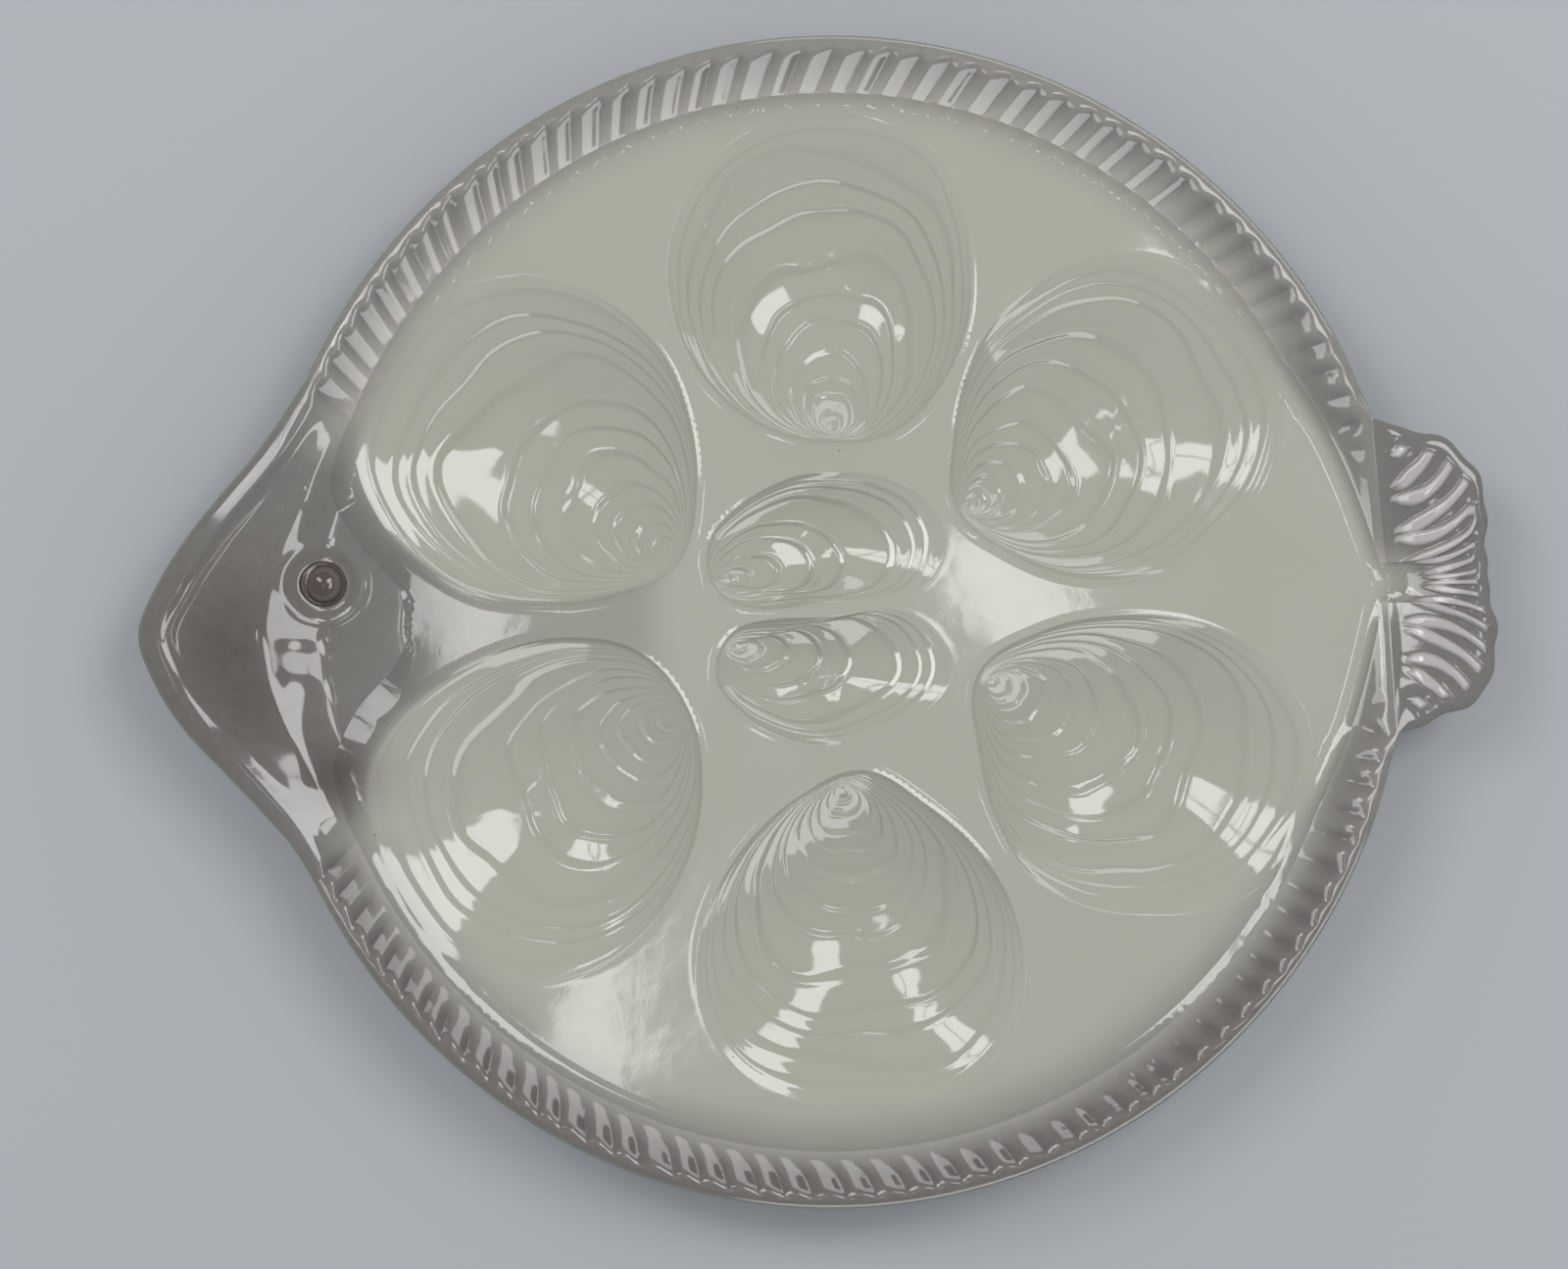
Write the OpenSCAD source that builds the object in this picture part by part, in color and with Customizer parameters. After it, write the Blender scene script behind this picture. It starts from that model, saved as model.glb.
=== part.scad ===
// Flatfish oyster plate: a glazed earthenware plate with six oyster wells round a double dip.
// It lies face up on the table, with its head towards minus x and its tail towards plus x.
// The origin is on the table, below the middle of the plate's length and width.

/* [Plate] */
// Width of the oval body across its two fin rims
body_w = 240; // [200:1:280]
// Length of the oval body from head to tail, without the snout and the tail fin
body_l = 236; // [200:1:270]
// Width of the ribbed rim, from the flat field to the edge
rim_w = 11; // [8:0.5:15]
// How far the rim rises above the field
rim_rise = 7.5; // [5:0.5:10]
// Thickness of the fired body
wall_t = 4; // [3:0.25:5]
// Height of the rim's outer edge face
edge_t = 2.5; // [1.5:0.25:3]

/* [Oyster wells] */
// Depth of an oyster well below the field
well_depth = 11; // [8:0.5:14]
// Width of the ridge between neighbouring wells
web_w = 2.4; // [1.6:0.2:4]
// Growth terraces on the inside of each well
terraces = 4; // [2:1:5]
// Drop at each growth terrace
terrace_h = 0.7; // [0.3:0.1:1]

/* [Centre dips] */
// Depth of the two dips at the middle
dip_depth = 7; // [5:0.5:9]

/* [Fin rims] */
// Width of one rib along the rim's edge
rib_w = 6.2; // [5:0.1:9]
// Depth of the groove between two ribs
rib_depth = 0.9; // [0.4:0.1:1.4]
// How far the ribs lean towards the tail for each unit that they run outwards
rib_lean = 0.5; // [0:0.05:0.8]

/* [Head] */
// How far the snout stands out beyond the oval body
snout_len = 23.8; // [14:0.1:32]
// How far the gill cover reaches in from the rim towards the middle
gill_len = 19; // [12:0.5:22]
// Step at the gill cover's edge
gill_h = 0.4; // [0.2:0.1:1]
// Diameter of the eye boss
eye_d = 8; // [5:0.5:10]
// Height of the eye boss
eye_h = 2.8; // [1.5:0.1:4]

/* [Tail] */
// Reach of the tail fin from its root to its corners
tail_len = 30; // [22:0.5:36]
// How far the tail rises above the field
tail_rise = 6; // [4:0.5:8]
// Number of rays in the tail
tail_rays = 20; // [12:1:24]
// Depth of the groove between two rays
ray_depth = 0.8; // [0.4:0.1:1.2]
// Diameter of the root that the rays spread from
root_d = 8; // [6:0.5:12]

/* [Foot] */
// Diameter of the foot ring at the middle of its width
foot_d = 144; // [110:1:160]
// Width of the foot ring
foot_w = 6; // [4:0.5:8]
// Height of the wells' undersides above the table
foot_h = 4; // [3:0.5:6]
// Clearance between the foot ring and the body above it
foot_gap = 0.2; // [0.1:0.05:0.3]

/* [Hidden] */

cream = [0.74, 0.72, 0.64];
taupe = [0.44, 0.41, 0.39];
fin_grey = [0.55, 0.53, 0.50];
eye_brown = [0.30, 0.25, 0.22];

field_w = body_w / 2 - rim_w;
field_l = body_l / 2 - rim_w;
oval = field_l / field_w;
field_top = foot_h + wall_t + well_depth;
field_bottom = field_top - wall_t;

// Every closed outline of a hollow is drawn with this many points
spokes = 32;
// A rib or a ray is drawn with this many steps, the first of them its groove
rib_steps = 3;

// Where the fin rims meet the head and the tail, as angles seen from the middle of the body
head_start = 155;
head_end = 207;
tail_upper = 20.6;
tail_lower = 348.9;
// Where the rim's inner line leaves its oval for the tail's root
taper_upper = 29.8;
taper_lower = 339.4;
// Direction of the tail's root, and how far it lies inside the body's edge
root_turn = 4.1;
root_inset_w = 3;
root_r = root_d / 2;
// Width of a rim's end at the tail's root
rim_end_w = 1.2;
// Steps between two sections of the head
head_columns = 36;

// Directions run anticlockwise from an oyster well's far edge, a sixteenth of a turn apart,
// and each share says how far the ridge round the well lies, in shares of the usual reach.
shell_share = 0.323;
shell_reach = field_w * shell_share;
upper_head_shares = [
    0.95, 0.98, 1.05, 1.02, 1.00, 1.01, 1.02, 1.10,
    1.22, 1.12, 1.04, 1.01, 0.99, 0.99, 1.00, 0.98,
];
upper_middle_shares = [
    0.92, 0.92, 0.93, 0.94, 0.96, 0.98, 1.02, 1.06,
    1.09, 1.12, 1.05, 0.98, 0.93, 0.94, 0.98, 0.95,
];
upper_tail_shares = [
    0.99, 1.01, 1.03, 1.01, 0.97, 0.97, 0.97, 1.02,
    1.13, 1.04, 0.99, 0.96, 0.97, 0.98, 1.01, 1.03,
];
lower_head_shares = [
    0.92, 0.96, 1.01, 1.03, 1.03, 1.03, 1.06, 1.12,
    1.20, 1.22, 1.11, 1.01, 0.97, 0.98, 1.01, 0.95,
];
lower_middle_shares = [
    0.90, 0.96, 1.02, 1.04, 1.00, 0.97, 0.96, 1.00,
    1.12, 1.04, 0.99, 0.99, 1.02, 1.05, 1.04, 0.97,
];
lower_tail_shares = [
    0.97, 1.00, 1.01, 0.98, 0.94, 0.93, 0.97, 1.08,
    1.22, 1.08, 1.02, 1.00, 0.94, 0.90, 0.92, 0.97,
];
// The two dips are wider than they are long, and their directions start at plus x
dip_share = 0.238;
dip_reach = field_w * dip_share;
dip_upper_shares = [
    1.00, 0.92, 0.77, 0.66, 0.62, 0.64, 0.70, 0.83,
    1.02, 1.04, 0.79, 0.58, 0.52, 0.54, 0.66, 0.89,
];
dip_lower_shares = [
    1.01, 0.95, 0.79, 0.59, 0.53, 0.55, 0.69, 0.94,
    1.00, 0.84, 0.70, 0.63, 0.60, 0.61, 0.67, 0.83,
];

// A hollow is [middle as shares of the field's half length and half width, facing, reach,
// outline shares, depth, direction of its hinge]. Its growth lines spread from near the hinge.
hinge_share = 0.86;
upper_head = [[-0.594, 0.347], 141, shell_reach, upper_head_shares, well_depth, 323];
upper_middle = [[-0.018, 0.680], 90, shell_reach, upper_middle_shares, well_depth, 274];
upper_tail = [[0.551, 0.381], 29, shell_reach, upper_tail_shares, well_depth, 209];
lower_head = [[-0.594, -0.365], 211, shell_reach, lower_head_shares, well_depth, 33];
lower_middle = [[0.061, -0.630], 270, shell_reach, lower_middle_shares, well_depth, 97];
lower_tail = [[0.620, -0.277], 332, shell_reach, lower_tail_shares, well_depth, 152];
upper_dip = [[-0.005, 0.149], 0, dip_reach, dip_upper_shares, dip_depth, 200];
lower_dip = [[0.004, -0.102], 0, dip_reach, dip_lower_shares, dip_depth, 164];
HOLLOWS = [
    upper_head,
    upper_middle,
    upper_tail,
    lower_head,
    lower_middle,
    lower_tail,
    upper_dip,
    lower_dip,
];

// A hollow's floor falls away from its edge by this power of the distance from its middle
bowl_power = 3;
// Width of a terrace's riser, as a share of the hollow's radius
riser_share = 0.03;
// Rings on the underside of a hollow, as shares of its radius
under_shares = [1, 0.8, 0.55, 0.25];
// Smallest ring on the inside of a hollow
inner_ring_share = 0.12;

// Rows across a rim, from the field to the edge: the place across, the rise and the depth of the ribs
rim_place_shares = [0, 0.08, 0.28, 0.55, 0.80, 0.93, 1];
rim_rise_shares = [0, 0.03, 0.24, 0.60, 0.92, 1, 0.88];
rim_rib_shares = [0, 0, 0.35, 0.80, 1, 0.60, 0];
rim_rows = len(rim_place_shares);

// The snout's outline beyond the oval, and the gill cover's reach inwards,
// from the upper joint to the lower one
snout_shares = [0, 0.07, 0.19, 0.39, 0.62, 0.84, 1, 0.88, 0.67, 0.41, 0.20, 0.05, 0];
gill_shares = [0, 0, 0.06, 0.45, 0.88, 1, 1, 1, 0.80, 0.36, 0.05, 0, 0];
// The eye's place, as an angle and as a share of the field's half length
eye_turn = 175.7;
eye_share = 0.98;

// The tail's outline between its two corners, from the lower one to the upper one
tail_shares = [
    1.00, 0.98, 1.00, 0.92, 0.83, 0.75, 0.67, 0.67,
    0.67, 0.73, 0.83, 0.94, 1.01, 1.05, 1.05,
];
// Rows along a ray: the place, the rise and the depth of the grooves
tail_place_shares = [0, 0.2, 0.45, 0.72, 0.90, 1];
tail_rise_shares = [0, 0.3, 0.65, 0.95, 1, 0.9];
tail_ray_shares = [0, 0.6, 1, 1, 0.4, 0];
tail_rows = len(tail_place_shares);

// Sections round the foot ring, and rows across its top
foot_columns = 120;
foot_rows = 4;

function polar(r, turn) = [r * cos(turn), r * sin(turn)];
function mix(a, b, t) = a + (b - a) * t;
function degrees(radians) = radians * 180 / PI;

// A smooth curve through a, b, c and d, read between b and c
function smooth_step(a, b, c, d, t) =
    b + t * ((c - a) + t * ((2 * a - 5 * b + 4 * c - d) + t * (3 * (b - c) + d - a))) / 2;

// A list of shares read as a smooth closed curve at a turn in degrees
function closed_share(shares, turn) =
    let (n = len(shares))
    let (place = (turn / 360 - floor(turn / 360)) * n)
    let (i = floor(place))
    smooth_step(
        shares[(i + n - 1) % n],
        shares[i % n],
        shares[(i + 1) % n],
        shares[(i + 2) % n],
        place - i
    );

// A list of values read as a smooth open curve at a share of its length
function open_value(values, share) =
    let (last = len(values) - 1)
    let (place = min(max(share, 0), 1) * last)
    let (i = min(floor(place), last - 1))
    smooth_step(
        values[max(i - 1, 0)],
        values[i],
        values[i + 1],
        values[min(i + 2, last)],
        place - i
    );

// Hollows
function squeezed(arm) = [arm.x * oval, arm.y];
function middle_of(hollow) = squeezed(hollow[0] * field_w);
function depth_of(hollow) = hollow[4];

// How far a hollow's edge lies from its middle in a direction
function reach_of(hollow, turn) = hollow[2] * closed_share(hollow[3], turn - hollow[1]) - web_w / 2;

// How far out a point lies in a hollow: 0 at its middle, 1 at its edge
function out_share(hollow, point) =
    let (away = point - middle_of(hollow))
    let (arm = [away.x / oval, away.y])
    norm(arm) == 0 ? 0 : norm(arm) / reach_of(hollow, atan2(arm.y, arm.x));

// The hollow's smooth floor, as a share of its depth
function bowl_share(share) = 1 - pow(min(share, 1), bowl_power);

// A point in a hollow, by its share of the way from the middle to the edge in a direction
function hollow_point(hollow, share, turn) =
    middle_of(hollow) + squeezed(polar(share * reach_of(hollow, turn), turn));

function hollow_outline(hollow) = [for (j = [0:spokes - 1]) hollow_point(hollow, 1, 360 * j / spokes)];

// Growth lines are the outline shrunk towards a point near the hinge
function growth_middle(hollow) = hollow_point(hollow, hinge_share, hollow[5]);
function growth_point(hollow, share, turn) =
    mix(growth_middle(hollow), hollow_point(hollow, 1, turn), share);

// Rings from the innermost one outwards, two at each riser: [share, terraces crossed]
function terrace_rings() =
    concat(
        [[inner_ring_share, terraces]],
        [for (k = [terraces:-1:1])
            let (place = 1 - k * (1 - inner_ring_share) / (terraces + 1))
            each [[place - riser_share, k], [place, k - 1]]],
        [[1, 0]]
    );

function floor_height(hollow, point, crossed) =
    field_top
    - (depth_of(hollow) - terraces * terrace_h) * bowl_share(out_share(hollow, point))
    - crossed * terrace_h;

function under_height(hollow, share) = field_bottom - depth_of(hollow) * bowl_share(share);

// Height of the body's underside inside the fin rims
function body_underside(point) =
    min([for (hollow = HOLLOWS)
        let (share = out_share(hollow, point))
        share < 1 ? under_height(hollow, share) : field_bottom]);

// Rims
// Distance from the middle of the body to the edge of its oval, in a direction
function body_reach(turn) =
    let (length = body_l / 2)
    let (width = body_w / 2)
    length * width / norm([width * cos(turn), length * sin(turn)]);

upper_corner = polar(body_reach(tail_upper), tail_upper);
lower_corner = polar(body_reach(tail_lower), tail_lower);
root = polar(body_reach(root_turn) - root_inset_w, root_turn);
upper_side = atan2(upper_corner.y - root.y, upper_corner.x - root.x);
lower_side = atan2(lower_corner.y - root.y, lower_corner.x - root.x);
upper_end = root + polar(root_r, upper_side);
lower_end = root + polar(root_r, lower_side);
upper_end_turn = atan2(upper_end.y, upper_end.x);
lower_end_turn = atan2(lower_end.y, lower_end.x) + 360;

// Distance from the middle of the body to the line through two points, in a direction
function line_reach(a, b, turn) =
    (a.x * (b.y - a.y) - a.y * (b.x - a.x)) / (cos(turn) * (b.y - a.y) - sin(turn) * (b.x - a.x));

function head_place(turn) = (turn - head_start) / (head_end - head_start);
function in_head(turn) = turn > head_start && turn < head_end;

// The plate's outline, seen from the middle of the body
function outer_reach(turn) =
    in_head(turn) ? body_reach(turn) + snout_len * open_value(snout_shares, head_place(turn))
    : turn < tail_upper ? line_reach(root, upper_corner, turn)
    : turn > tail_lower ? line_reach(root, lower_corner, turn)
    : body_reach(turn);

// The line where the rim starts to rise: an oval that runs straight to the tail's root
function oval_crease(turn) = body_reach(turn) - rim_w;
function crease_reach(turn) =
    turn < taper_upper
        ? line_reach(upper_end - [rim_end_w, 0], polar(oval_crease(taper_upper), taper_upper), turn)
    : turn > taper_lower
        ? line_reach(lower_end - [rim_end_w, 0], polar(oval_crease(taper_lower), taper_lower), turn)
    : oval_crease(turn);

function gill_reach(turn) = in_head(turn) ? gill_len * open_value(gill_shares, head_place(turn)) : 0;

function row_reach(turn, row) =
    row == 0
        ? crease_reach(turn) - gill_reach(turn)
        : mix(crease_reach(turn), outer_reach(turn), rim_place_shares[row]);

// Ribs lean towards the tail, so a section of the rim turns a little as it runs outwards
function lean_turn(turn, reach) =
    turn - degrees(rib_lean * sin(turn) / (1 + rib_lean * cos(turn)) * (reach / outer_reach(turn) - 1));

function row_place(turn, row) =
    let (reach = row_reach(turn, row))
    polar(reach, lean_turn(turn, reach));

// A narrow rim rises less, and has shallower ribs
function rim_fullness(turn) = min(1, (outer_reach(turn) - crease_reach(turn)) / rim_w);
// The gill cover is flat, and stands a step above the field where it reaches well in
function gill_lift(turn) = gill_h * min(1, 2 * gill_reach(turn) / gill_len);

function rim_top(turn, row, groove) =
    field_top
    + max(row < 2 ? gill_lift(turn) : 0, rim_rise * rim_rise_shares[row] * rim_fullness(turn))
    - (groove ? rib_depth * rim_rib_shares[row] * rim_fullness(turn) : 0);

function rim_under(turn, row) =
    row == 0 ? field_bottom
    : field_top + rim_rise * rim_rise_shares[row] * rim_fullness(turn)
        - mix(wall_t, edge_t, rim_place_shares[row]);

// A section of the rim: its underside from the field to the edge, then its top back again
function rim_section(turn, groove) =
    concat(
        [for (row = [0:rim_rows - 1]) [each row_place(turn, row), rim_under(turn, row)]],
        [for (row = [rim_rows - 1:-1:0]) [each row_place(turn, row), rim_top(turn, row, groove)]]
    );

// Section angles of a ribbed stretch of rim, with a whole number of ribs
function rib_turns(from, to) =
    let (ribs = max(1, round((to - from) * PI / 360 * body_w / rib_w)))
    [for (i = [0:ribs * rib_steps]) mix(from, to, i / (ribs * rib_steps))];

function without_first(list) = [for (i = [1:len(list) - 1]) list[i]];

upper_turns = concat(
    rib_turns(upper_end_turn, tail_upper),
    without_first(rib_turns(tail_upper, head_start))
);
head_turns = [for (i = [0:head_columns]) mix(head_start, head_end, i / head_columns)];
lower_turns = concat(
    rib_turns(head_end, tail_lower),
    without_first(rib_turns(tail_lower, lower_end_turn))
);

// Tail
tail_reaches = concat(
    [norm(lower_corner - root)],
    tail_len * tail_shares,
    [norm(upper_corner - root)]
);
tail_columns = tail_rays * rib_steps;

function tail_groove(column) = column % rib_steps == 0 && column > 0 && column < tail_columns;

function tail_place(column, row) =
    let (share = column / tail_columns)
    let (turn = mix(lower_side, upper_side, share))
    root + polar(mix(root_r, open_value(tail_reaches, share), tail_place_shares[row]), turn);

function tail_top(column, row) =
    field_top + tail_rise * tail_rise_shares[row]
    - (tail_groove(column) ? ray_depth * tail_ray_shares[row] : 0);

function tail_under(row) =
    row == 0 ? field_bottom
    : field_top + tail_rise * tail_rise_shares[row] - mix(wall_t, edge_t, tail_place_shares[row]);

function tail_section(column) =
    concat(
        [for (row = [0:tail_rows - 1]) [each tail_place(column, row), tail_under(row)]],
        [for (row = [tail_rows - 1:-1:0]) [each tail_place(column, row), tail_top(column, row)]]
    );

// Field
field_outline = concat(
    [for (turn = upper_turns) row_place(turn, 0)],
    [for (turn = without_first(head_turns)) row_place(turn, 0)],
    [for (turn = without_first(lower_turns)) row_place(turn, 0)],
    [for (column = [0:tail_columns]) tail_place(column, 0)]
);

// The origin is below the middle of the plate's length
snout_x = min([for (turn = head_turns) polar(outer_reach(turn), turn).x]);
tail_x = max([for (column = [0:tail_columns]) tail_place(column, tail_rows - 1).x]);
centre_x = -(snout_x + tail_x) / 2;

// Triangles between rings of points, each ring closed, from one ring to the next
function band_faces(first, rings, points, closed) =
    [for (i = [0:rings - (closed ? 1 : 2)])
        for (j = [0:points - 1])
            let (a = first + i * points + j)
            let (b = first + i * points + (j + 1) % points)
            let (c = first + ((i + 1) % rings) * points + (j + 1) % points)
            let (d = first + ((i + 1) % rings) * points + j)
            each [[a, b, c], [a, c, d]]];

// Triangles that close a section, which pairs its underside points with its top points
function cap_faces(first, points, flip) =
    [for (k = [0:points / 2 - 2])
        let (a = first + k)
        let (b = first + k + 1)
        let (c = first + points - 2 - k)
        let (d = first + points - 1 - k)
        each (flip ? [[a, c, b], [a, d, c]] : [[a, b, c], [a, c, d]])];

// A solid swept through closed sections, capped at both ends
module swept(sections) {
    points = len(sections[0]);
    last = (len(sections) - 1) * points;
    polyhedron(
        points = [for (section = sections) each section],
        faces = concat(
            band_faces(0, len(sections), points, false),
            cap_faces(0, points, true),
            cap_faces(last, points, false)
        )
    );
}

// A hollow's shell: its terraced inside, its upright joint to the field and its smooth underside
module hollow_shell(hollow) {
    rings = terrace_rings();
    growth = growth_middle(hollow);
    inside = [for (ring = rings)
        [for (j = [0:spokes - 1])
            let (point = growth_point(hollow, ring[0], 360 * j / spokes))
            [each point, floor_height(hollow, point, ring[1])]]];
    under = [for (share = under_shares)
        [for (j = [0:spokes - 1])
            [each hollow_point(hollow, share, 360 * j / spokes), under_height(hollow, share)]]];
    shell = concat(inside, under);
    top_pole = [each growth, floor_height(hollow, growth, terraces)];
    low_pole = [each middle_of(hollow), under_height(hollow, 0)];
    last = 1 + (len(shell) - 1) * spokes;
    polyhedron(
        points = concat([top_pole], [for (ring = shell) each ring], [low_pole]),
        faces = concat(
            [for (j = [0:spokes - 1]) [0, 1 + (j + 1) % spokes, 1 + j]],
            band_faces(1, len(shell), spokes, false),
            [for (j = [0:spokes - 1]) [last + j, last + (j + 1) % spokes, last + spokes]]
        )
    );
}

module placed() {
    translate([centre_x, 0, 0]) children();
}

// The flat field that ties the hollows together
module field() {
    outlines = concat([field_outline], [for (hollow = HOLLOWS) hollow_outline(hollow)]);
    starts = [for (i = 0, n = 0; i < len(outlines); n = n + len(outlines[i]), i = i + 1) n];
    color(cream) placed() translate([0, 0, field_bottom])
        linear_extrude(height = wall_t)
            polygon(
                points = [for (outline = outlines) each outline],
                paths = [for (i = [0:len(outlines) - 1])
                    [for (j = [0:len(outlines[i]) - 1]) starts[i] + j]]
            );
}

module well_upper_head() {
    color(cream) placed() hollow_shell(upper_head);
}

module well_upper_middle() {
    color(cream) placed() hollow_shell(upper_middle);
}

module well_upper_tail() {
    color(cream) placed() hollow_shell(upper_tail);
}

module well_lower_head() {
    color(cream) placed() hollow_shell(lower_head);
}

module well_lower_middle() {
    color(cream) placed() hollow_shell(lower_middle);
}

module well_lower_tail() {
    color(cream) placed() hollow_shell(lower_tail);
}

module dip_upper() {
    color(cream) placed() hollow_shell(upper_dip);
}

module dip_lower() {
    color(cream) placed() hollow_shell(lower_dip);
}

// The ribbed rim along the fish's back
module upper_fin_rim() {
    color(fin_grey) placed()
        swept([for (i = [0:len(upper_turns) - 1]) rim_section(upper_turns[i], i % rib_steps == 0)]);
}

// The ribbed rim along the fish's belly
module lower_fin_rim() {
    color(fin_grey) placed()
        swept([for (i = [0:len(lower_turns) - 1]) rim_section(lower_turns[i], i % rib_steps == 0)]);
}

// The snout and gill cover, whose two end sections are those of the rims
module head() {
    color(taupe) placed()
        swept([for (i = [0:head_columns]) rim_section(head_turns[i], i == 0 || i == head_columns)]);
}

// The eye stands on the flat of the gill cover
module eye() {
    // Radius of the sphere that the boss is cut from
    ball_r = (pow(eye_d / 2, 2) + pow(eye_h, 2)) / (2 * eye_h);
    seat = polar(field_l * eye_share, eye_turn);
    color(eye_brown) placed() translate([each seat, field_top + gill_h])
        intersection() {
            translate([0, 0, eye_h - ball_r]) sphere(r = ball_r, $fn = 48);
            cylinder(d = eye_d, h = eye_h, $fn = 48);
        }
}

module tail_fin() {
    color(fin_grey) placed()
        swept([for (column = [0:tail_columns]) tail_section(column)]);
}

// The foot ring stands on the table and follows the body's underside
module foot_ring() {
    function foot_reach(row) = foot_d / 2 - foot_w / 2 + foot_w * row / (foot_rows - 1);
    sections = [for (i = [0:foot_columns - 1])
        let (turn = 360 * i / foot_columns)
        concat(
            [[each polar(foot_reach(0), turn), 0], [each polar(foot_reach(foot_rows - 1), turn), 0]],
            [for (row = [foot_rows - 1:-1:0])
                let (point = polar(foot_reach(row), turn))
                [each point, body_underside(point) - foot_gap]]
        )];
    color(cream) placed()
        polyhedron(
            points = [for (section = sections) each section],
            faces = band_faces(0, foot_columns, len(sections[0]), true)
        );
}

field();
well_upper_head();
well_upper_middle();
well_upper_tail();
well_lower_head();
well_lower_middle();
well_lower_tail();
dip_upper();
dip_lower();
upper_fin_rim();
lower_fin_rim();
head();
eye();
tail_fin();
foot_ring();
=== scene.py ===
import math

import bpy
import numpy as np
from bpy.props import FloatProperty, FloatVectorProperty, IntProperty, PointerProperty
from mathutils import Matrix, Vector
from mathutils.geometry import delaunay_2d_cdt


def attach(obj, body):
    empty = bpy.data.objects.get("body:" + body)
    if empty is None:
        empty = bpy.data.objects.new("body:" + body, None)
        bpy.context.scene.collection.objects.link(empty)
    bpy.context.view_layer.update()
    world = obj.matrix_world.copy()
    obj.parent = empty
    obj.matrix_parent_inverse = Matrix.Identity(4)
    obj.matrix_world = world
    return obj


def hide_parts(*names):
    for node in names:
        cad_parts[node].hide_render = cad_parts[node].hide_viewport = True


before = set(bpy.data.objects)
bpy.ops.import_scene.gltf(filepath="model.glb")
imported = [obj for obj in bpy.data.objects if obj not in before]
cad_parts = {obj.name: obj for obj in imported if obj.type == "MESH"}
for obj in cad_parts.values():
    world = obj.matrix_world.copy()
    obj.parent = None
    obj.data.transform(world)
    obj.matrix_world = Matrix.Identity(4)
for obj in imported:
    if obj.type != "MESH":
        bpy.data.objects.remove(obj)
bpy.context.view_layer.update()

bl_info = {
    "name": "Flatfish Oyster Plate",
    "version": (1, 0, 0),
    "blender": (4, 5, 0),
    "location": "3D View > Sidebar > Oyster Plate",
    "description": "Builds a glazed flatfish oyster plate: shell wells, ribbed fins, head and tail",
    "category": "Add Mesh",
}

MM = 0.001

# Directions are degrees round the middle of the body, from the tail anticlockwise
HEAD_START, HEAD_END = 155.0, 207.0
TAIL_UPPER, TAIL_LOWER = 20.6, 348.9
# Where the rim's crease leaves its oval for the tail's root, and how far it bows out on its way
TAPER_UPPER, TAPER_LOWER = 29.8, 339.4
BOW_UPPER, BOW_LOWER = 2.0, 1.6
# Direction of the tail's root, how far it lies inside the body's edge, and a fin's width there
ROOT_TURN, ROOT_INSET, FIN_END = 4.1, 3, 1.2
# Direction of the eye, and its distance as a share of the field's half length
EYE_TURN, EYE_SHARE = 175.7, 0.98

# Even steps across the head: how far the snout stands out and the gill cover reaches in, as
# shares of their lengths
SNOUT_SHARES = [0, 0.07, 0.19, 0.39, 0.62, 0.84, 1, 0.88, 0.67, 0.41, 0.20, 0.05, 0]
GILL_SHARES = [0, 0, 0.06, 0.45, 0.88, 1, 1, 1, 0.80, 0.36, 0.05, 0, 0]
# Even steps across the tail from its lower corner: how far it reaches, as shares of its length
TAIL_SHARES = [
    1.00, 0.98, 1.00, 0.92, 0.83, 0.75, 0.67, 0.67,
    0.67, 0.73, 0.83, 0.94, 1.01, 1.05, 1.05]

# Each hollow: middle as shares of the field's half length and half width, facing, direction of
# its hinge, growth lines, and its reach in sixteen directions from its facing, as shares of the
# usual one
WELLS = {
    "well_upper_head": ((-0.594, 0.347), 141, 323, 12, [
        0.95, 0.98, 1.05, 1.02, 1.00, 1.01, 1.02, 1.10,
        1.22, 1.12, 1.04, 1.01, 0.99, 0.99, 1.00, 0.98]),
    "well_upper_middle": ((-0.018, 0.680), 90, 274, 12, [
        0.92, 0.92, 0.93, 0.94, 0.96, 0.98, 1.02, 1.06,
        1.09, 1.12, 1.05, 0.98, 0.93, 0.94, 0.98, 0.95]),
    "well_upper_tail": ((0.551, 0.381), 29, 209, 12, [
        0.99, 1.01, 1.03, 1.01, 0.97, 0.97, 0.97, 1.02,
        1.13, 1.04, 0.99, 0.96, 0.97, 0.98, 1.01, 1.03]),
    "well_lower_head": ((-0.594, -0.365), 211, 33, 12, [
        0.92, 0.96, 1.01, 1.03, 1.03, 1.03, 1.06, 1.12,
        1.20, 1.22, 1.11, 1.01, 0.97, 0.98, 1.01, 0.95]),
    "well_lower_middle": ((0.061, -0.630), 270, 97, 13, [
        0.90, 0.96, 1.02, 1.04, 1.00, 0.97, 0.96, 1.00,
        1.12, 1.04, 0.99, 0.99, 1.02, 1.05, 1.04, 0.97]),
    "well_lower_tail": ((0.620, -0.277), 332, 152, 12, [
        0.97, 1.00, 1.01, 0.98, 0.94, 0.93, 0.97, 1.08,
        1.22, 1.08, 1.02, 1.00, 0.94, 0.90, 0.92, 0.97]),
}
DIPS = {
    "dip_upper": ((-0.005, 0.149), 0, 200, 8, [
        1.00, 0.92, 0.77, 0.66, 0.62, 0.64, 0.70, 0.83,
        1.02, 1.04, 0.79, 0.58, 0.52, 0.54, 0.66, 0.89]),
    "dip_lower": ((0.004, -0.102), 0, 164, 8, [
        1.01, 0.95, 0.79, 0.59, 0.53, 0.55, 0.69, 0.94,
        1.00, 0.84, 0.70, 0.63, 0.60, 0.61, 0.67, 0.83]),
}
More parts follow.
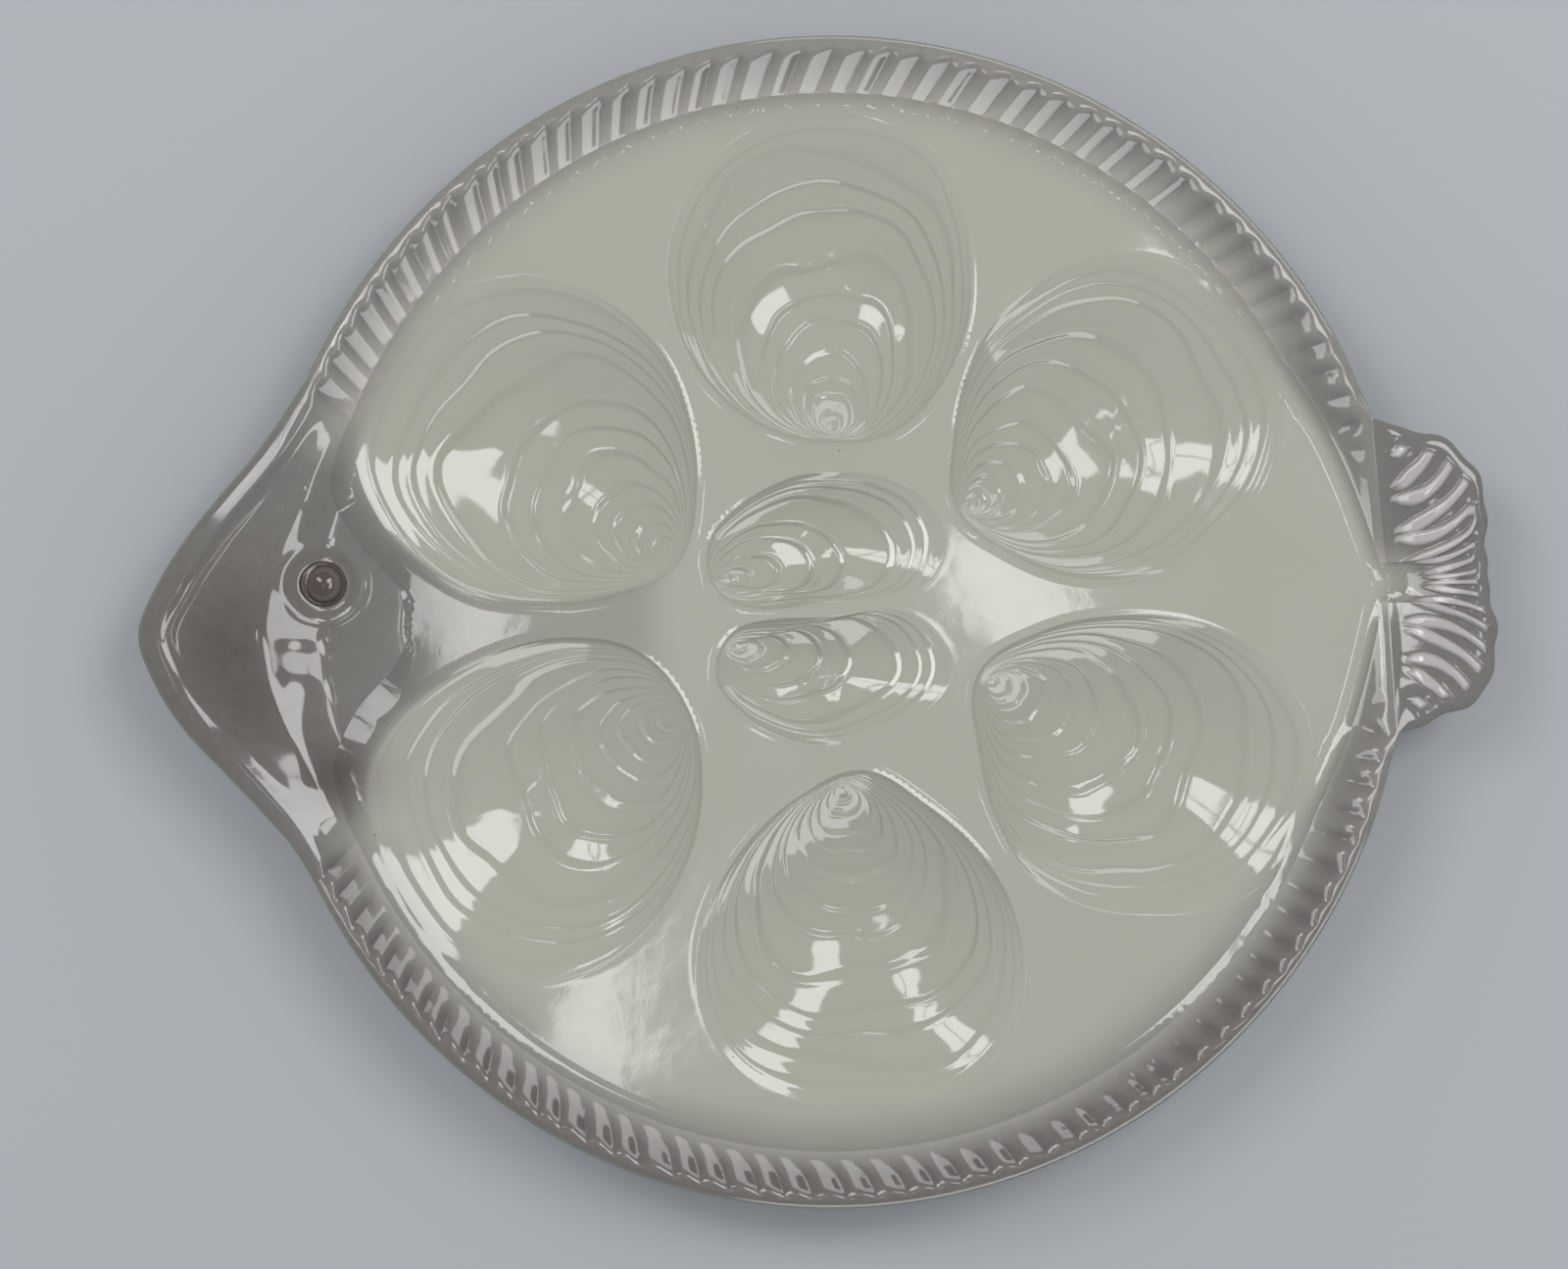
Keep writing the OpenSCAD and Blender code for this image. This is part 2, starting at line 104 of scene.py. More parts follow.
# Each kind of hollow: usual reach as a share of the field's half width, name of its depth,
# softness of its far edge, boldness and waviness of its growth lines, shift of their pattern,
# spokes and rings
KINDS = {
    "well": (0.323, "well_depth", 1.0, 1.0, 1.0, 0, 280, 250),
    "dip": (0.238, "dip_depth", 0.9, 1.35, 0.45, 0.9, 240, 190),
}
# Where the growth lines start, as a share of the way from a hollow's middle to its hinge
GROWTH_SHARE = 0.94
# Waver of the growth lines: size, waves round the hollow, drift from line to line, and shift
WAVERS = ((0.20, 2, 0.9, 1), (0.15, 4, -1.4, 2.1), (0.06, 7, 2.1, 3.3), (0.02, 12, -2.6, 1))
# Width of the crisp ridge along a hollow's edge, and of the rolled lip round the head
RIDGE_W, LIP_W = 0.62, 3.3
# Width of the tail's rolled edge
TAIL_ROLL_W = 1.7
# How strongly spray gathers in the grooves between ribs
GATHER = 0.15
# Brown touches on the head: strength, place and width in millimetres, and how many times as
# long as wide
BROWN_TOUCHES = (
    (0.60, (-126, -6), 13, 1.2), (0.70, (-102, -32), 8, 1),
    (0.30, (-112, 4), 17, 1), (0.45, (-116, -21), 11, 1),
)
# Patterns of the glaze, in waves to the metre: thin clouds, grain and spread of the spray, swell,
# peel, sheen and pinholes of the surface
CLOUDS, GRAIN, SPREAD, SWELL, PEEL, SHEEN, PITS = 38, 2600, 420, 95, 1100, 260, 75
# Rows of a hollow's underside, of the rim's outer roll and of the tail's
UNDER_RINGS, RIM_ROLL_ROWS, TAIL_ROLL_ROWS = 24, 12, 9

PIECES = []


def length(name, value, description):
    return FloatProperty(
        name=name, default=value * MM, min=0, unit="LENGTH", precision=4, description=description)


def colour(name, value, description):
    return FloatVectorProperty(
        name=name, default=value, size=3, min=0, max=1, subtype="COLOR", description=description)


class PlateSizes(bpy.types.PropertyGroup):
    """Sizes of the plate; the body, hollows, head and tail have those of its construction model."""
    body_w: length("Body width", 240, "Width of the oval body across its two fins")
    body_l: length("Body length", 236, "Length of the oval body without snout and tail")
    rim_w: length("Rim width", 11, "Width of the sloping rim")
    rim_rise: length("Rim rise", 7.5, "Height of the rim above the field")
    wall: length("Wall", 4, "Thickness of the fired body")
    edge: length("Edge", 3.1, "Thickness of the rolled edge")
    roll_w: length("Roll width", 2.7, "Width of the edge's outer roll")
    well_depth: length("Well depth", 11, "Depth of an oyster well")
    dip_depth: length("Dip depth", 7, "Depth of a centre dip")
    web_w: length("Web width", 2.4, "Width of the ridge between two wells")
    ridge_h: length("Ridge height", 0.24, "Height of the crisp ridge along a hollow's edge")
    line_h: length("Growth line height", 0.5, "Largest step at a growth line")
    rib_w: length("Rib width", 6.2, "Pitch of the fin's ribs along the edge")
    rib_h: length("Rib height", 1.0, "Depth of the groove between two ribs")
    rib_len: length("Rib length", 14.5, "How far the ribs reach in from the edge")
    rib_lean: FloatProperty(
        name="Rib lean", default=0.5, min=0, max=1, description="Lean of the ribs towards the tail")
    snout_len: length("Snout length", 23.8, "How far the snout stands out")
    gill_len: length("Gill cover length", 19, "How far the gill cover reaches in")
    gill_h: length("Gill cover step", 0.4, "Step at the gill cover's edge")
    eye_d: length("Eye diameter", 8, "Diameter of the eye boss")
    eye_h: length("Eye height", 2.8, "Height of the eye boss")
    tail_len: length("Tail length", 30, "Reach of the tail fin from its root")
    tail_rise: length("Tail rise", 6, "Height of the tail above the field")
    tail_rays: IntProperty(
        name="Tail rays", default=20, min=8, max=30, description="Number of rays in the tail")
    ray_h: length("Ray height", 0.9, "Height of a ray above its grooves")
    root_d: length("Root diameter", 8, "Diameter of the tail's root")
    foot_d: length("Foot diameter", 144, "Middle diameter of the foot ring")
    foot_w: length("Foot width", 6, "Width of the foot ring")
    foot_h: length("Foot height", 4, "Height of the wells' undersides above the table")


class PlateColours(bpy.types.PropertyGroup):
    """Colours of the plate's glazes and the floor."""
    cream: colour("Cream glaze", (0.415, 0.402, 0.337), "Ground glaze of the field and wells")
    pool: colour("Pooled glaze", (0.325, 0.325, 0.26), "Glaze where it gathers in grooves")
    taupe: colour("Taupe spray", (0.119, 0.111, 0.106), "Colour sprayed over the fins and the head")
    brown: colour("Brown spray", (0.060, 0.044, 0.037), "Brown touched on the head and eye")
    edge: colour("Edge glaze", (0.17, 0.19, 0.155), "Green-grey line on the outermost edge")
    # Ray glaze: partly the thinner glaze over the rays' crests and partly a painted reflection; it
    # also paints a highlight round the tail's root
    ray: colour("Ray glaze", (0.50, 0.465, 0.465), "Pale glaze on the crests of the tail's rays")
    floor: colour("Floor", (0.435, 0.447, 0.465), "The pale floor")


def ease(x):
    """Runs from 0 to 1 with level ends: 3x^2 - 2x^3."""
    x = np.clip(x, 0, 1)
    return x * x * (3 - 2 * x)


def mix(a, b, t):
    return a + (b - a) * t


def bump(distance, width):
    """A bell-shaped ridge: e to the power of -(distance / width)^2."""
    return np.exp(-np.square(distance / width))


def polar(reach, turn):
    return np.stack([reach * np.cos(np.radians(turn)), reach * np.sin(np.radians(turn))], -1)


def direction(point):
    return math.degrees(math.atan2(point[1], point[0]))


def past_turn(turn):
    """Directions below the tail and just past it, counted on beyond 360."""
    return np.where(turn < 90, turn + 360, turn)


def apart(xy):
    """The x and the y of an array of points."""
    return np.ascontiguousarray(np.moveaxis(xy, -1, 0))


def lifted(xy, z):
    return np.concatenate([xy, z[..., None]], -1)


def curve_step(a, b, c, d, t):
    """A smooth curve through four values, read between the middle two."""
    return b + t * ((c - a) + t * ((2 * a - 5 * b + 4 * c - d) + t * (3 * (b - c) + d - a))) / 2


def closed_share(shares, turn):
    """Values spaced evenly round a turn, read as a smooth closed curve."""
    shares = np.asarray(shares, float)
    n = len(shares)
    place = (np.asarray(turn, float) / 360 % 1) * n
    i = np.floor(place).astype(int)
    return curve_step(*(shares[(i + k) % n] for k in (-1, 0, 1, 2)), place - i)


def open_value(values, share):
    """Values spaced evenly from 0 to 1, read as a smooth open curve."""
    values = np.asarray(values, float)
    last = len(values) - 1
    place = np.clip(share, 0, 1) * last
    i = np.minimum(np.floor(place).astype(int), last - 1)
    return curve_step(*(values[np.clip(i + k, 0, last)] for k in (-1, 0, 1, 2)), place - i)


def detail_count(full):
    """Points along a row, at least twelve."""
    return max(12, int(full * (1)))


def roll_steps(rows):
    """Rows round a quarter circle: how far each is drawn in and how far it drops, as shares."""
    for i in range(1, rows + 1):
        angle = math.pi / 2 * (1 - i / rows)
        yield 1 - math.cos(angle), 1 - math.sin(angle)


class Hollow:
    """One oyster well or centre dip: a closed outline round its middle."""

    def __init__(self, name, plan, entry):
        middle, self.facing, self.hinge, self.lines, self.shares = entry
        kind = KINDS[name.split("_")[0]]
        reach, depth, self.softness, self.bold, self.wavy, shift, spokes, rings = kind
        self.name = name
        self.plan = plan
        self.depth = getattr(plan, depth)
        self.reach = plan.field_w * reach
        self.middle = np.array([middle[0] * plan.oval, middle[1]]) * plan.field_w
        self.seed = 1.7 * self.facing + shift
        self.spokes, self.rings = detail_count(spokes), detail_count(rings)
        self.growth = self.point(GROWTH_SHARE, np.array(self.hinge))

    def reach_of(self, turn):
        return self.reach * closed_share(self.shares, turn - self.facing) - self.plan.web_w / 2

    def point(self, share, turn):
        arm = polar(share * self.reach_of(turn), turn)
        arm[..., 0] *= self.plan.oval
        return self.middle + arm

    def edge_points(self):
        return self.point(1.0, np.arange(self.spokes) * 360 / self.spokes)

    def place(self, x, y):
        """Share of the way from the middle to the edge, and the direction, of each point."""
        ax, ay = (x - self.middle[0]) / self.plan.oval, y - self.middle[1]
        turn = np.degrees(np.arctan2(ay, ax))
        return np.hypot(ax, ay) / self.reach_of(turn), turn

    def beyond(self, share, turn):
        """How far outside the edge a place lies."""
        return (share - 1) * self.reach_of(turn)

    def far(self, turn):
        """1 at the hollow's far, soft edge and 0 along its hinge side."""
        return self.softness * ease(0.62 + 0.75 * np.cos(np.radians(turn - self.facing)))

    def bowl(self, share, turn):
        """Depth share: 1 - t^3 by the hinge, with a crisp edge, and (1 - t^2)^1.5 at the far side;
        a term in t (1 - t)^2 brings the deepest place a little nearer to the hinge."""
        t = np.clip(share, 0, 1)
        lean = 0.55 * t * (1 - t) ** 2 * np.cos(np.radians(turn - self.hinge))
        return mix(1 - t ** 3, (1 - t * t) ** 1.5, self.far(turn)) + lean

    def growth_relief(self, s, turn, radius):
        """Shingled growth lines, and how much glaze pools at them. Line number n = N s^0.526, plus
        2 ((s - 0.7) / 0.3)^2 past s = 0.7, wavers more and more outwards; the gap between two lines
        is the radius over its rate dn/ds. Between two lines the floor falls slowly, at a line it
        steps up again with a small bead. The steps are half as high along the hinge side."""
        s = np.maximum(s, 1e-9)
        late = np.maximum(s - 0.7, 0)
        n = self.lines * np.power(s, 0.526) + 2 * (late / 0.3) ** 2
        last = self.lines + 2
        phi = np.radians(turn)
        k = self.seed
        waver = sum(size * np.sin(waves * phi + drift * n + shift * k)
                    for size, waves, drift, shift in WAVERS)
        room = np.clip(n / last, 0, 1) ** 1.1 * np.clip((last - n) / 1.5, 0, 1)
        n = n + (self.wavy * waver + 0.26 * np.sin(2.2 * n + k)) * room
        gap = radius / (0.526 * self.lines * np.power(s, -0.474) + 44.4 * late)
        step = self.bold * np.minimum(self.plan.line_h, 0.16 * gap)
        step = step * np.clip((last - n) / 0.8, 0, 1)
        step = step * (0.78 + 0.22 * np.sin(2 * phi + 1.3 * n + 2 * k))
        step = step * (1 - 0.35 * ease(late / 0.3)) * mix(0.5, 1, self.far(turn))
        f = n - np.floor(n)
        width = np.clip(0.10 + 0.65 / np.maximum(gap, 0.1), 0.16, 0.5)
        riser = ease((f - 1 + width) / width)
        thin = np.clip(0.38 / np.maximum(gap, 0.1), 0.05, 0.13)
        bead = bump(f - thin / 2, thin) + bump(f - 1 - thin / 2, thin)
        crown = 4 * f * (1 - f)
        relief = step * (riser - f + 0.30 * self.bold * bead + 0.30 * crown)
        return relief, step * (0.9 * bump(f - 1 + width, 0.10) + 0.3 * (1 - f))


class Plan:
    """The plate's plan and heights in millimetres, about the middle of its oval body."""

    def __init__(self, sizes):
        for name in PlateSizes.__annotations__:
            value = getattr(sizes, name)
            setattr(self, name, value if name in ("rib_lean", "tail_rays") else value / MM)
        self.field_w = self.body_w / 2 - self.rim_w
        self.field_l = self.body_l / 2 - self.rim_w
        self.oval = self.field_l / self.field_w
        self.top = self.foot_h + self.wall + self.well_depth
        self.root_r = self.root_d / 2
        self.upper_corner = polar(self.body_reach(TAIL_UPPER), TAIL_UPPER)
        self.lower_corner = polar(self.body_reach(TAIL_LOWER), TAIL_LOWER)
        self.root = polar(self.body_reach(ROOT_TURN) - ROOT_INSET, ROOT_TURN)
        self.upper_side = direction(self.upper_corner - self.root)
        self.lower_side = direction(self.lower_corner - self.root)
        self.upper_end = self.root + polar(self.root_r, self.upper_side)
        self.lower_end = self.root + polar(self.root_r, self.lower_side)
        self.upper_end_turn = direction(self.upper_end)
        self.lower_end_turn = direction(self.lower_end) + 360
        self.eye = polar(self.field_l * EYE_SHARE, EYE_TURN)
        self.hollows = [Hollow(name, self, entry) for name, entry in (WELLS | DIPS).items()]
        turns = np.linspace(HEAD_START, HEAD_END, 400)
        snout_x = polar(self.outer_reach(turns), turns)[:, 0].min()
        tail_x = self.tail_outline(np.linspace(0, 1, 400))[:, 0].max()
        self.centre_x = -(snout_x + tail_x) / 2

    def body_reach(self, turn):
        """Reach of the body's oval in a direction."""
        a, b = self.body_l / 2, self.body_w / 2
        t = np.radians(turn)
        return a * b / np.hypot(b * np.cos(t), a * np.sin(t))

    @staticmethod
    def line_reach(a, b, turn):
        """Reach of the straight line through two points, in a direction."""
        t = np.radians(turn)
        across, up = b[0] - a[0], b[1] - a[1]
        return (a[0] * up - a[1] * across) / (np.cos(t) * up - np.sin(t) * across)

    def head_place(self, turn):
        return (turn - HEAD_START) / (HEAD_END - HEAD_START)

    def sides(self, turn):
        """Which points lie above the tail's root, and which lie below it."""
        upper = (turn - ROOT_TURN + 180) % 360 >= 180
        return upper & (turn < 90), ~upper & ((turn > 270) | (turn < 90))

    def outer_reach(self, turn):
        """The plate's outline: oval, snout, and two straight lines from the tail's root."""
        turn = np.asarray(turn, float) % 360
        up, low = self.sides(turn)
        head = (turn > HEAD_START) & (turn < HEAD_END)
        snout = self.snout_len * open_value(SNOUT_SHARES, self.head_place(turn))
        reach = self.body_reach(turn) + np.where(head, snout, 0)
        upper_line = self.line_reach(self.root, self.upper_corner, turn)
        lower_line = self.line_reach(self.root, self.lower_corner, turn)
        reach = np.where(up & (turn < TAIL_UPPER), upper_line, reach)
        return np.where(low & ((turn > TAIL_LOWER) | (turn < 90)), lower_line, reach)

    def crease_reach(self, turn):
        """Where the rim starts to rise: an oval that bows in towards the tail's root."""
        turn = np.asarray(turn, float) % 360
        up, low = self.sides(turn)
        end = np.array([FIN_END, 0.0])
        a, b = self.upper_end - end, polar(self.body_reach(TAPER_UPPER) - self.rim_w, TAPER_UPPER)
        c, d = self.lower_end - end, polar(self.body_reach(TAPER_LOWER) - self.rim_w, TAPER_LOWER)
        along_up = (turn - self.upper_end_turn) / (TAPER_UPPER - self.upper_end_turn)
        along_low = (past_turn(turn) - TAPER_LOWER) / (self.lower_end_turn - TAPER_LOWER)
        bow_up = BOW_UPPER * np.sin(np.pi * np.clip(along_up, 0, 1))
        bow_low = BOW_LOWER * np.sin(np.pi * np.clip(along_low, 0, 1))
        upper_line = self.line_reach(a, b, turn) + bow_up
        lower_line = self.line_reach(c, d, turn) + bow_low
        reach = np.where(up & (turn < TAPER_UPPER), upper_line, self.body_reach(turn) - self.rim_w)
        return np.where(low & ((turn > TAPER_LOWER) | (turn < 90)), lower_line, reach)

    def slant(self, turn):
        """How much nearer the head's outline lies at right angles than along the radius."""
        step = 0.4
        change = self.outer_reach(turn + step) - self.outer_reach(turn - step)
        change = change / np.radians(2 * step)
        slant = 1 / np.sqrt(1 + np.square(change / self.outer_reach(turn)))
        return mix(1, slant, self.in_head(turn, 3))

    def in_head(self, turn, blur):
        """1 well inside the head's stretch of rim, 0 outside it."""
        turn = np.asarray(turn, float) % 360
        return ease((turn - HEAD_START) / blur) * ease((HEAD_END - turn) / blur)

    def gill_reach(self, turn):
        place = self.head_place(np.asarray(turn, float) % 360)
        return self.gill_len * open_value(GILL_SHARES, place)

    def roll_of(self, turn, width):
        """Radial width of the outer roll, narrower where the rim itself is narrow."""
        roll = mix(self.roll_w, LIP_W, self.in_head(turn, 8)) / self.slant(turn)
        return np.minimum(roll, 0.35 * width) * self.free_edge(turn)

    def free_edge(self, turn):
        """1 where the rim ends in the air, 0 where it runs on into the tail."""
        turn = np.asarray(turn, float) % 360
        up, low = self.sides(turn)
        gone = np.where(up & (turn < 90), ease((TAIL_UPPER + 3 - turn) / 3), 0)
        return 1 - np.where(low, ease((past_turn(turn) - TAIL_LOWER + 3) / 3), gone)

    def by_tail(self, turn):
        """1 beside the tail, 0 away from it."""
        signed = (turn - ROOT_TURN + 180) % 360 - 180
        return ease((34 - np.abs(signed)) / 14)

    def by_belly(self, turn):
        """1 along the lower fin, where ribs are short and the rim starts gently; 0 on the upper."""
        return np.clip(-1.5 * np.sin(np.radians(turn)), 0, 1)

    def lean(self, turn):
        """Degrees that a rib's line would turn from the edge to the middle."""
        t = np.radians(turn)
        return np.degrees(self.rib_lean * np.sin(t) / (1 + self.rib_lean * np.cos(t)))

    def lean_turn(self, turn, reach):
        """A section turns a little as it runs outwards, as the ribs lean towards the tail."""
        return turn + self.lean(turn) * (1 - reach / self.outer_reach(turn))

    def rib_phase(self, turn, reach, outer):
        """Counts the ribs round the plate, along their leaning lines."""
        start = turn - self.lean(turn) * (1 - reach / outer)
        upper = (turn - ROOT_TURN) % 360 < 180
        ribs_up = round(math.radians(HEAD_START - TAIL_UPPER) * self.body_w / 2 / self.rib_w)
        ribs_low = round(math.radians(TAIL_LOWER - HEAD_END) * self.body_w / 2 / self.rib_w)
        signed = np.where(~upper & (start < 90), start + 360, start)
        phase = np.where(
            upper,
            (start - TAIL_UPPER) / (HEAD_START - TAIL_UPPER) * ribs_up,
            (signed - HEAD_END) / (TAIL_LOWER - HEAD_END) * ribs_low + 100,
        )
        return phase + 0.07 * np.sin(0.9 * phase) + 0.05 * np.sin(2.3 * phase + 1)

    def rim_parts(self, x, y):
        """Values that the rim's height and colour share, at each point."""
        turn = np.degrees(np.arctan2(y, x)) % 360
        outer, crease = self.outer_reach(turn), self.crease_reach(turn)
        width = np.maximum(outer - crease, 0.8)
        head, roll = self.in_head(turn, 6), self.roll_of(turn, width)
        return turn, np.hypot(x, y), outer, crease, width, head, roll

    def rim_lift(self, parts):
        """Rise of rim and head over the field: a straight ramp with a rounded foot and top; on the
        head, a quick first rise and then a gentle slope out to the lip."""
        turn, reach, _, crease, width, head, roll = parts
        full = np.clip(width / self.rim_w, 0, 1)
        lead = mix(0.32 * self.rim_w * full, 4.2, self.by_tail(turn))
        place = np.clip((reach - crease + lead) / (width - roll + lead), 0, 1)
        foot = mix(mix(0.26, 0.46, self.by_belly(turn)), 0.55, self.by_tail(turn))
        crown = mix(0.14, 0.42, self.by_tail(turn))
        ramp = np.where(place < foot, place ** 2 / (2 * foot), place - foot / 2)
        over = np.where(place > 1 - crown, (place - 1 + crown) ** 2 / (2 * crown), 0)
        fin = (ramp - over) / (1 - foot / 2 - crown / 2)
        brow = 0.42 * ease(place / 0.42) + 0.58 * place
        return self.rim_rise * full * mix(fin, brow, head)

    def rim_detail(self, x, y, parts):
        """Ribs, the head's rolled lip, the gill step, a slow unevenness along the head's crease
        and the moat round the eye; and how deep in a groove each point lies, from 0 to 1."""
        turn, reach, outer, crease, width, _, _ = parts
        inside = (outer - reach) * self.slant(turn)
        full = np.clip(width / self.rim_w, 0, 1)
        ends = (1 - self.in_head(turn, 4)) * ease((full - 0.25) / 0.5)
        phase = self.rib_phase(turn, reach, outer)
        lobe = ((np.sqrt(np.sin(np.pi * phase) ** 2 + 0.0004) - 0.02) / 0.9802) ** 1.3
        own = 1 + 0.10 * np.sin(1.9 * np.floor(phase)) + 0.06 * np.sin(5.3 * np.floor(phase))
        length = (self.rib_len - 0.2) * (1 - 0.30 * self.by_belly(turn))
        along = ease((length - inside) / 4.2) * ease((inside - 1.5) / 3.0)
        along = along * mix(1, ease((reach - crease - 1.5) / 3), self.by_tail(turn))
        groove = (1 - lobe) * along * ends * full
        lip = self.in_head(turn, 9) * mix(0.2, 1, ease((y + 14) / 24))
        gill = self.in_head(turn, 2) * self.gill_reach(turn)
        uneven = np.sin(y / 1.7 + 1.2 * np.sin(y / 5.3 + x / 9))
        away = np.hypot(x - self.eye[0], y - self.eye[1])
        lift = -self.rib_h * own * groove
        lift = lift + lip * (0.42 * bump(inside - 4.4, 1.0) - 0.30 * bump(inside - 6.4, 1.3))
        lift = lift + (self.gill_h * ease((reach - crease + gill) / 1.6 + 0.5) * ease(gill / 6)
                       * ease((crease + 6 - reach) / 5))
        lift = lift + 0.08 * self.in_head(turn, 9) * bump(reach - crease - 1, 6) * uneven
        return lift - 0.55 * bump(away - 5.2, 1.3) + 0.22 * bump(away - 7.8, 1.2), groove

    def ridges(self, places):
        """Crisp ridges along the hollows' hinge sides, bell-shaped across the edge."""
        return sum(
            self.ridge_h * (1 - 0.95 * hollow.far(turn)) * bump(hollow.beyond(share, turn), RIDGE_W)
            for hollow, (share, turn) in zip(self.hollows, places)
        )

    def height(self, xy):
        """The glazed upper surface: field, ridges, bowls, rim and its details, without growth
        lines; and how deep in a groove between ribs each point lies."""
        x, y = apart(xy)
        places = [hollow.place(x, y) for hollow in self.hollows]
        parts = self.rim_parts(x, y)
        detail, groove = self.rim_detail(x, y, parts)
        z = self.top + self.ridges(places) + self.rim_lift(parts) + detail
        for hollow, (share, turn) in zip(self.hollows, places):
            z = z - np.where(share < 1, hollow.depth * hollow.bowl(share, turn), 0)
        return z + self.sag(x, y), groove

    def sag(self, x, y):
        """Slow unevenness of a cast and fired body."""
        waves = 0.12 * np.sin(x / 17 + 0.7) * np.cos(y / 19 - 0.4)
        waves = waves + 0.05 * np.sin(x / 9.3 - y / 11.1 + 1.1)
        return waves * ease((0.97 * self.field_w - np.hypot(x, y)) / 20)

    def underside(self, xy):
        """The underside: a wall's thickness below the upper surface, bulging under each hollow.
        The bulges join by a smooth greatest-of, k ln(1 + sum of e^(b/k))."""
        x, y = apart(xy)
        k = 0.8
        total = np.ones_like(x)
        for hollow in self.hollows:
            share, _ = hollow.place(x, y)
            total = total + np.exp(np.clip(hollow.depth * (1 - (share / 1.1) ** 3), -40, 40) / k)
        parts = self.rim_parts(x, y)
        _, reach, _, crease, width, _, roll = parts
        place = ease((reach - crease) / (width - roll))
        wall = mix(self.wall, self.edge, place)
        return self.top + self.rim_lift(parts) - wall - k * np.log(total) * (1 - place)

    def tail_outline(self, u):
        """The tail's scalloped edge, from the lower corner to the upper one."""
        first, last = (np.hypot(*(corner - self.root))
                       for corner in (self.lower_corner, self.upper_corner))
        reaches = np.array([first, *(self.tail_len * share for share in TAIL_SHARES), last])
        turn = mix(self.lower_side, self.upper_side, u)
        scallop = 0.36 * np.cos(np.pi * self.tail_rays * u) * ease(u / 0.08) * ease((1 - u) / 0.08)
        return self.root + polar(open_value(reaches, u) - scallop, turn)

    def spray(self, xy):
        """How strongly taupe and brown are sprayed at each point, and where the edge line lies.
        Taupe fades inwards from the fins and the head; a tapering patch of painted reflection, a
        dark shape mirrored in the flat glaze, runs on in taupe from the head over the web between
        the dips; near the tail's root the taupe is thinned as a painted highlight; brown lies on
        the head, the lower fin and round the eye."""
        x, y = apart(xy)
        turn, reach, outer, crease, _, head, _ = self.rim_parts(x, y)
        inside = (outer - reach) * self.slant(turn)
        belly = self.by_belly(turn) * (1 - head)
        wide = 1 - ease((inside - mix(2.0, 4.5, belly)) / 17.5)
        wide = (0.91 - 0.07 * np.sin(np.radians(turn))) * wide ** 1.2
        narrow = (1 - ease((crease - reach + 1.5) / 4.5)) * 0.86
        fin = mix(wide, narrow, self.by_tail(turn))
        # Painted highlight: the taupe is thinned to a pale patch round the tail's root
        fin = fin * (1 - 0.65 * bump(np.hypot(x - self.root[0], y - self.root[1]), 5.5))
        nearest = np.min([hollow.place(x, y)[0] for hollow in self.hollows], 0)
        on_web = ease((nearest - 0.955) / 0.05)
        past = crease - self.in_head(turn, 2) * self.gill_reach(turn) - reach
        brow = 0.94 * self.in_head(turn, 10) * (1 - ease((past + 3) / 20)) * mix(0.12, 1, on_web)
        # Painted reflection: a dark tapering patch mirrored in the flat web, painted in taupe from
        # the head over the web between the dips
        painted_reflection_wedge = 0.34 * ease((-31 - x) / 11) * ease((20 - np.abs(y + 0.5)) / 8) * ease((x + 100) / 8)
        painted_reflection_wedge = painted_reflection_wedge * on_web
        taupe = 1 - (1 - fin) * (1 - brow) * (1 - painted_reflection_wedge)
        brown = sum(strength * bump(np.hypot(x - at[0], (y - at[1]) / long), width)
                    for strength, at, width, long in BROWN_TOUCHES)
        brown = np.clip(brown, 0, 1) * self.in_head(turn, 5)
        brown = np.maximum(brown, 0.34 * belly * (1 - ease((inside - 3) / 9)))
        away = np.hypot(x - self.eye[0], y - self.eye[1])
        brown = np.maximum(brown, 0.85 * bump(np.maximum(away - 3.8, 0), 1.0))
        return taupe, brown, ease((1.0 - inside) / 1.0) * self.free_edge(turn)


def strip_faces(rows, columns, first=0, rows_closed=False, columns_closed=False):
    """Two triangles for each cell of a grid of points that is stored row by row."""
    i = np.arange(rows if rows_closed else rows - 1)[:, None]
    j = np.arange(columns if columns_closed else columns - 1)[None, :]
    here, there = first + i * columns, first + (i + 1) % rows * columns
    a, b, c, d = here + j, there + j, there + (j + 1) % columns, here + (j + 1) % columns
    halves = np.stack([a, b, c], -1), np.stack([a, c, d], -1)
    return np.concatenate([half.reshape(-1, 3) for half in halves])


def fan_faces(pole, ring, flip=False):
    """Triangles from one point to a closed ring of points."""
    following = np.roll(ring, -1)
    pole = np.full_like(ring, pole)
    return np.stack([pole, following, ring] if flip else [pole, ring, following], -1)


def cap_faces(section, flip=False):
    """Closes a section whose first half runs along its top and its second half back below."""
    half = len(section) // 2
    top, low = section[:half], section[half:][::-1]
    a = np.stack([top[:-1], top[1:], low[1:]], -1)
    b = np.stack([top[:-1], low[1:], low[:-1]], -1)
    faces = np.concatenate([a, b])
    return faces[:, ::-1] if flip else faces


def place_keys(points, per_unit):
    """One whole number for each point, the same for points in the same small cell."""
    q = np.round(points * per_unit).astype(np.int64) + 2 ** 19
    return (q[:, 0] << 40) + (q[:, 1] << 20) + q[:, 2]


def weld(points, faces, walls, tint):
    """Joins points within a two-thousandth of a millimetre, and drops faces without area."""
    _, first, back = np.unique(place_keys(points, 2000), return_index=True, return_inverse=True)
    faces = back.reshape(-1)[faces]
    good = (faces != np.roll(faces, -1, 1)).all(1)
    used = np.unique(faces[good])
    renumber = np.full(len(first), -1)
    renumber[used] = np.arange(len(used))
    return points[first][used], renumber[faces[good]], walls[good], tint[first][used]


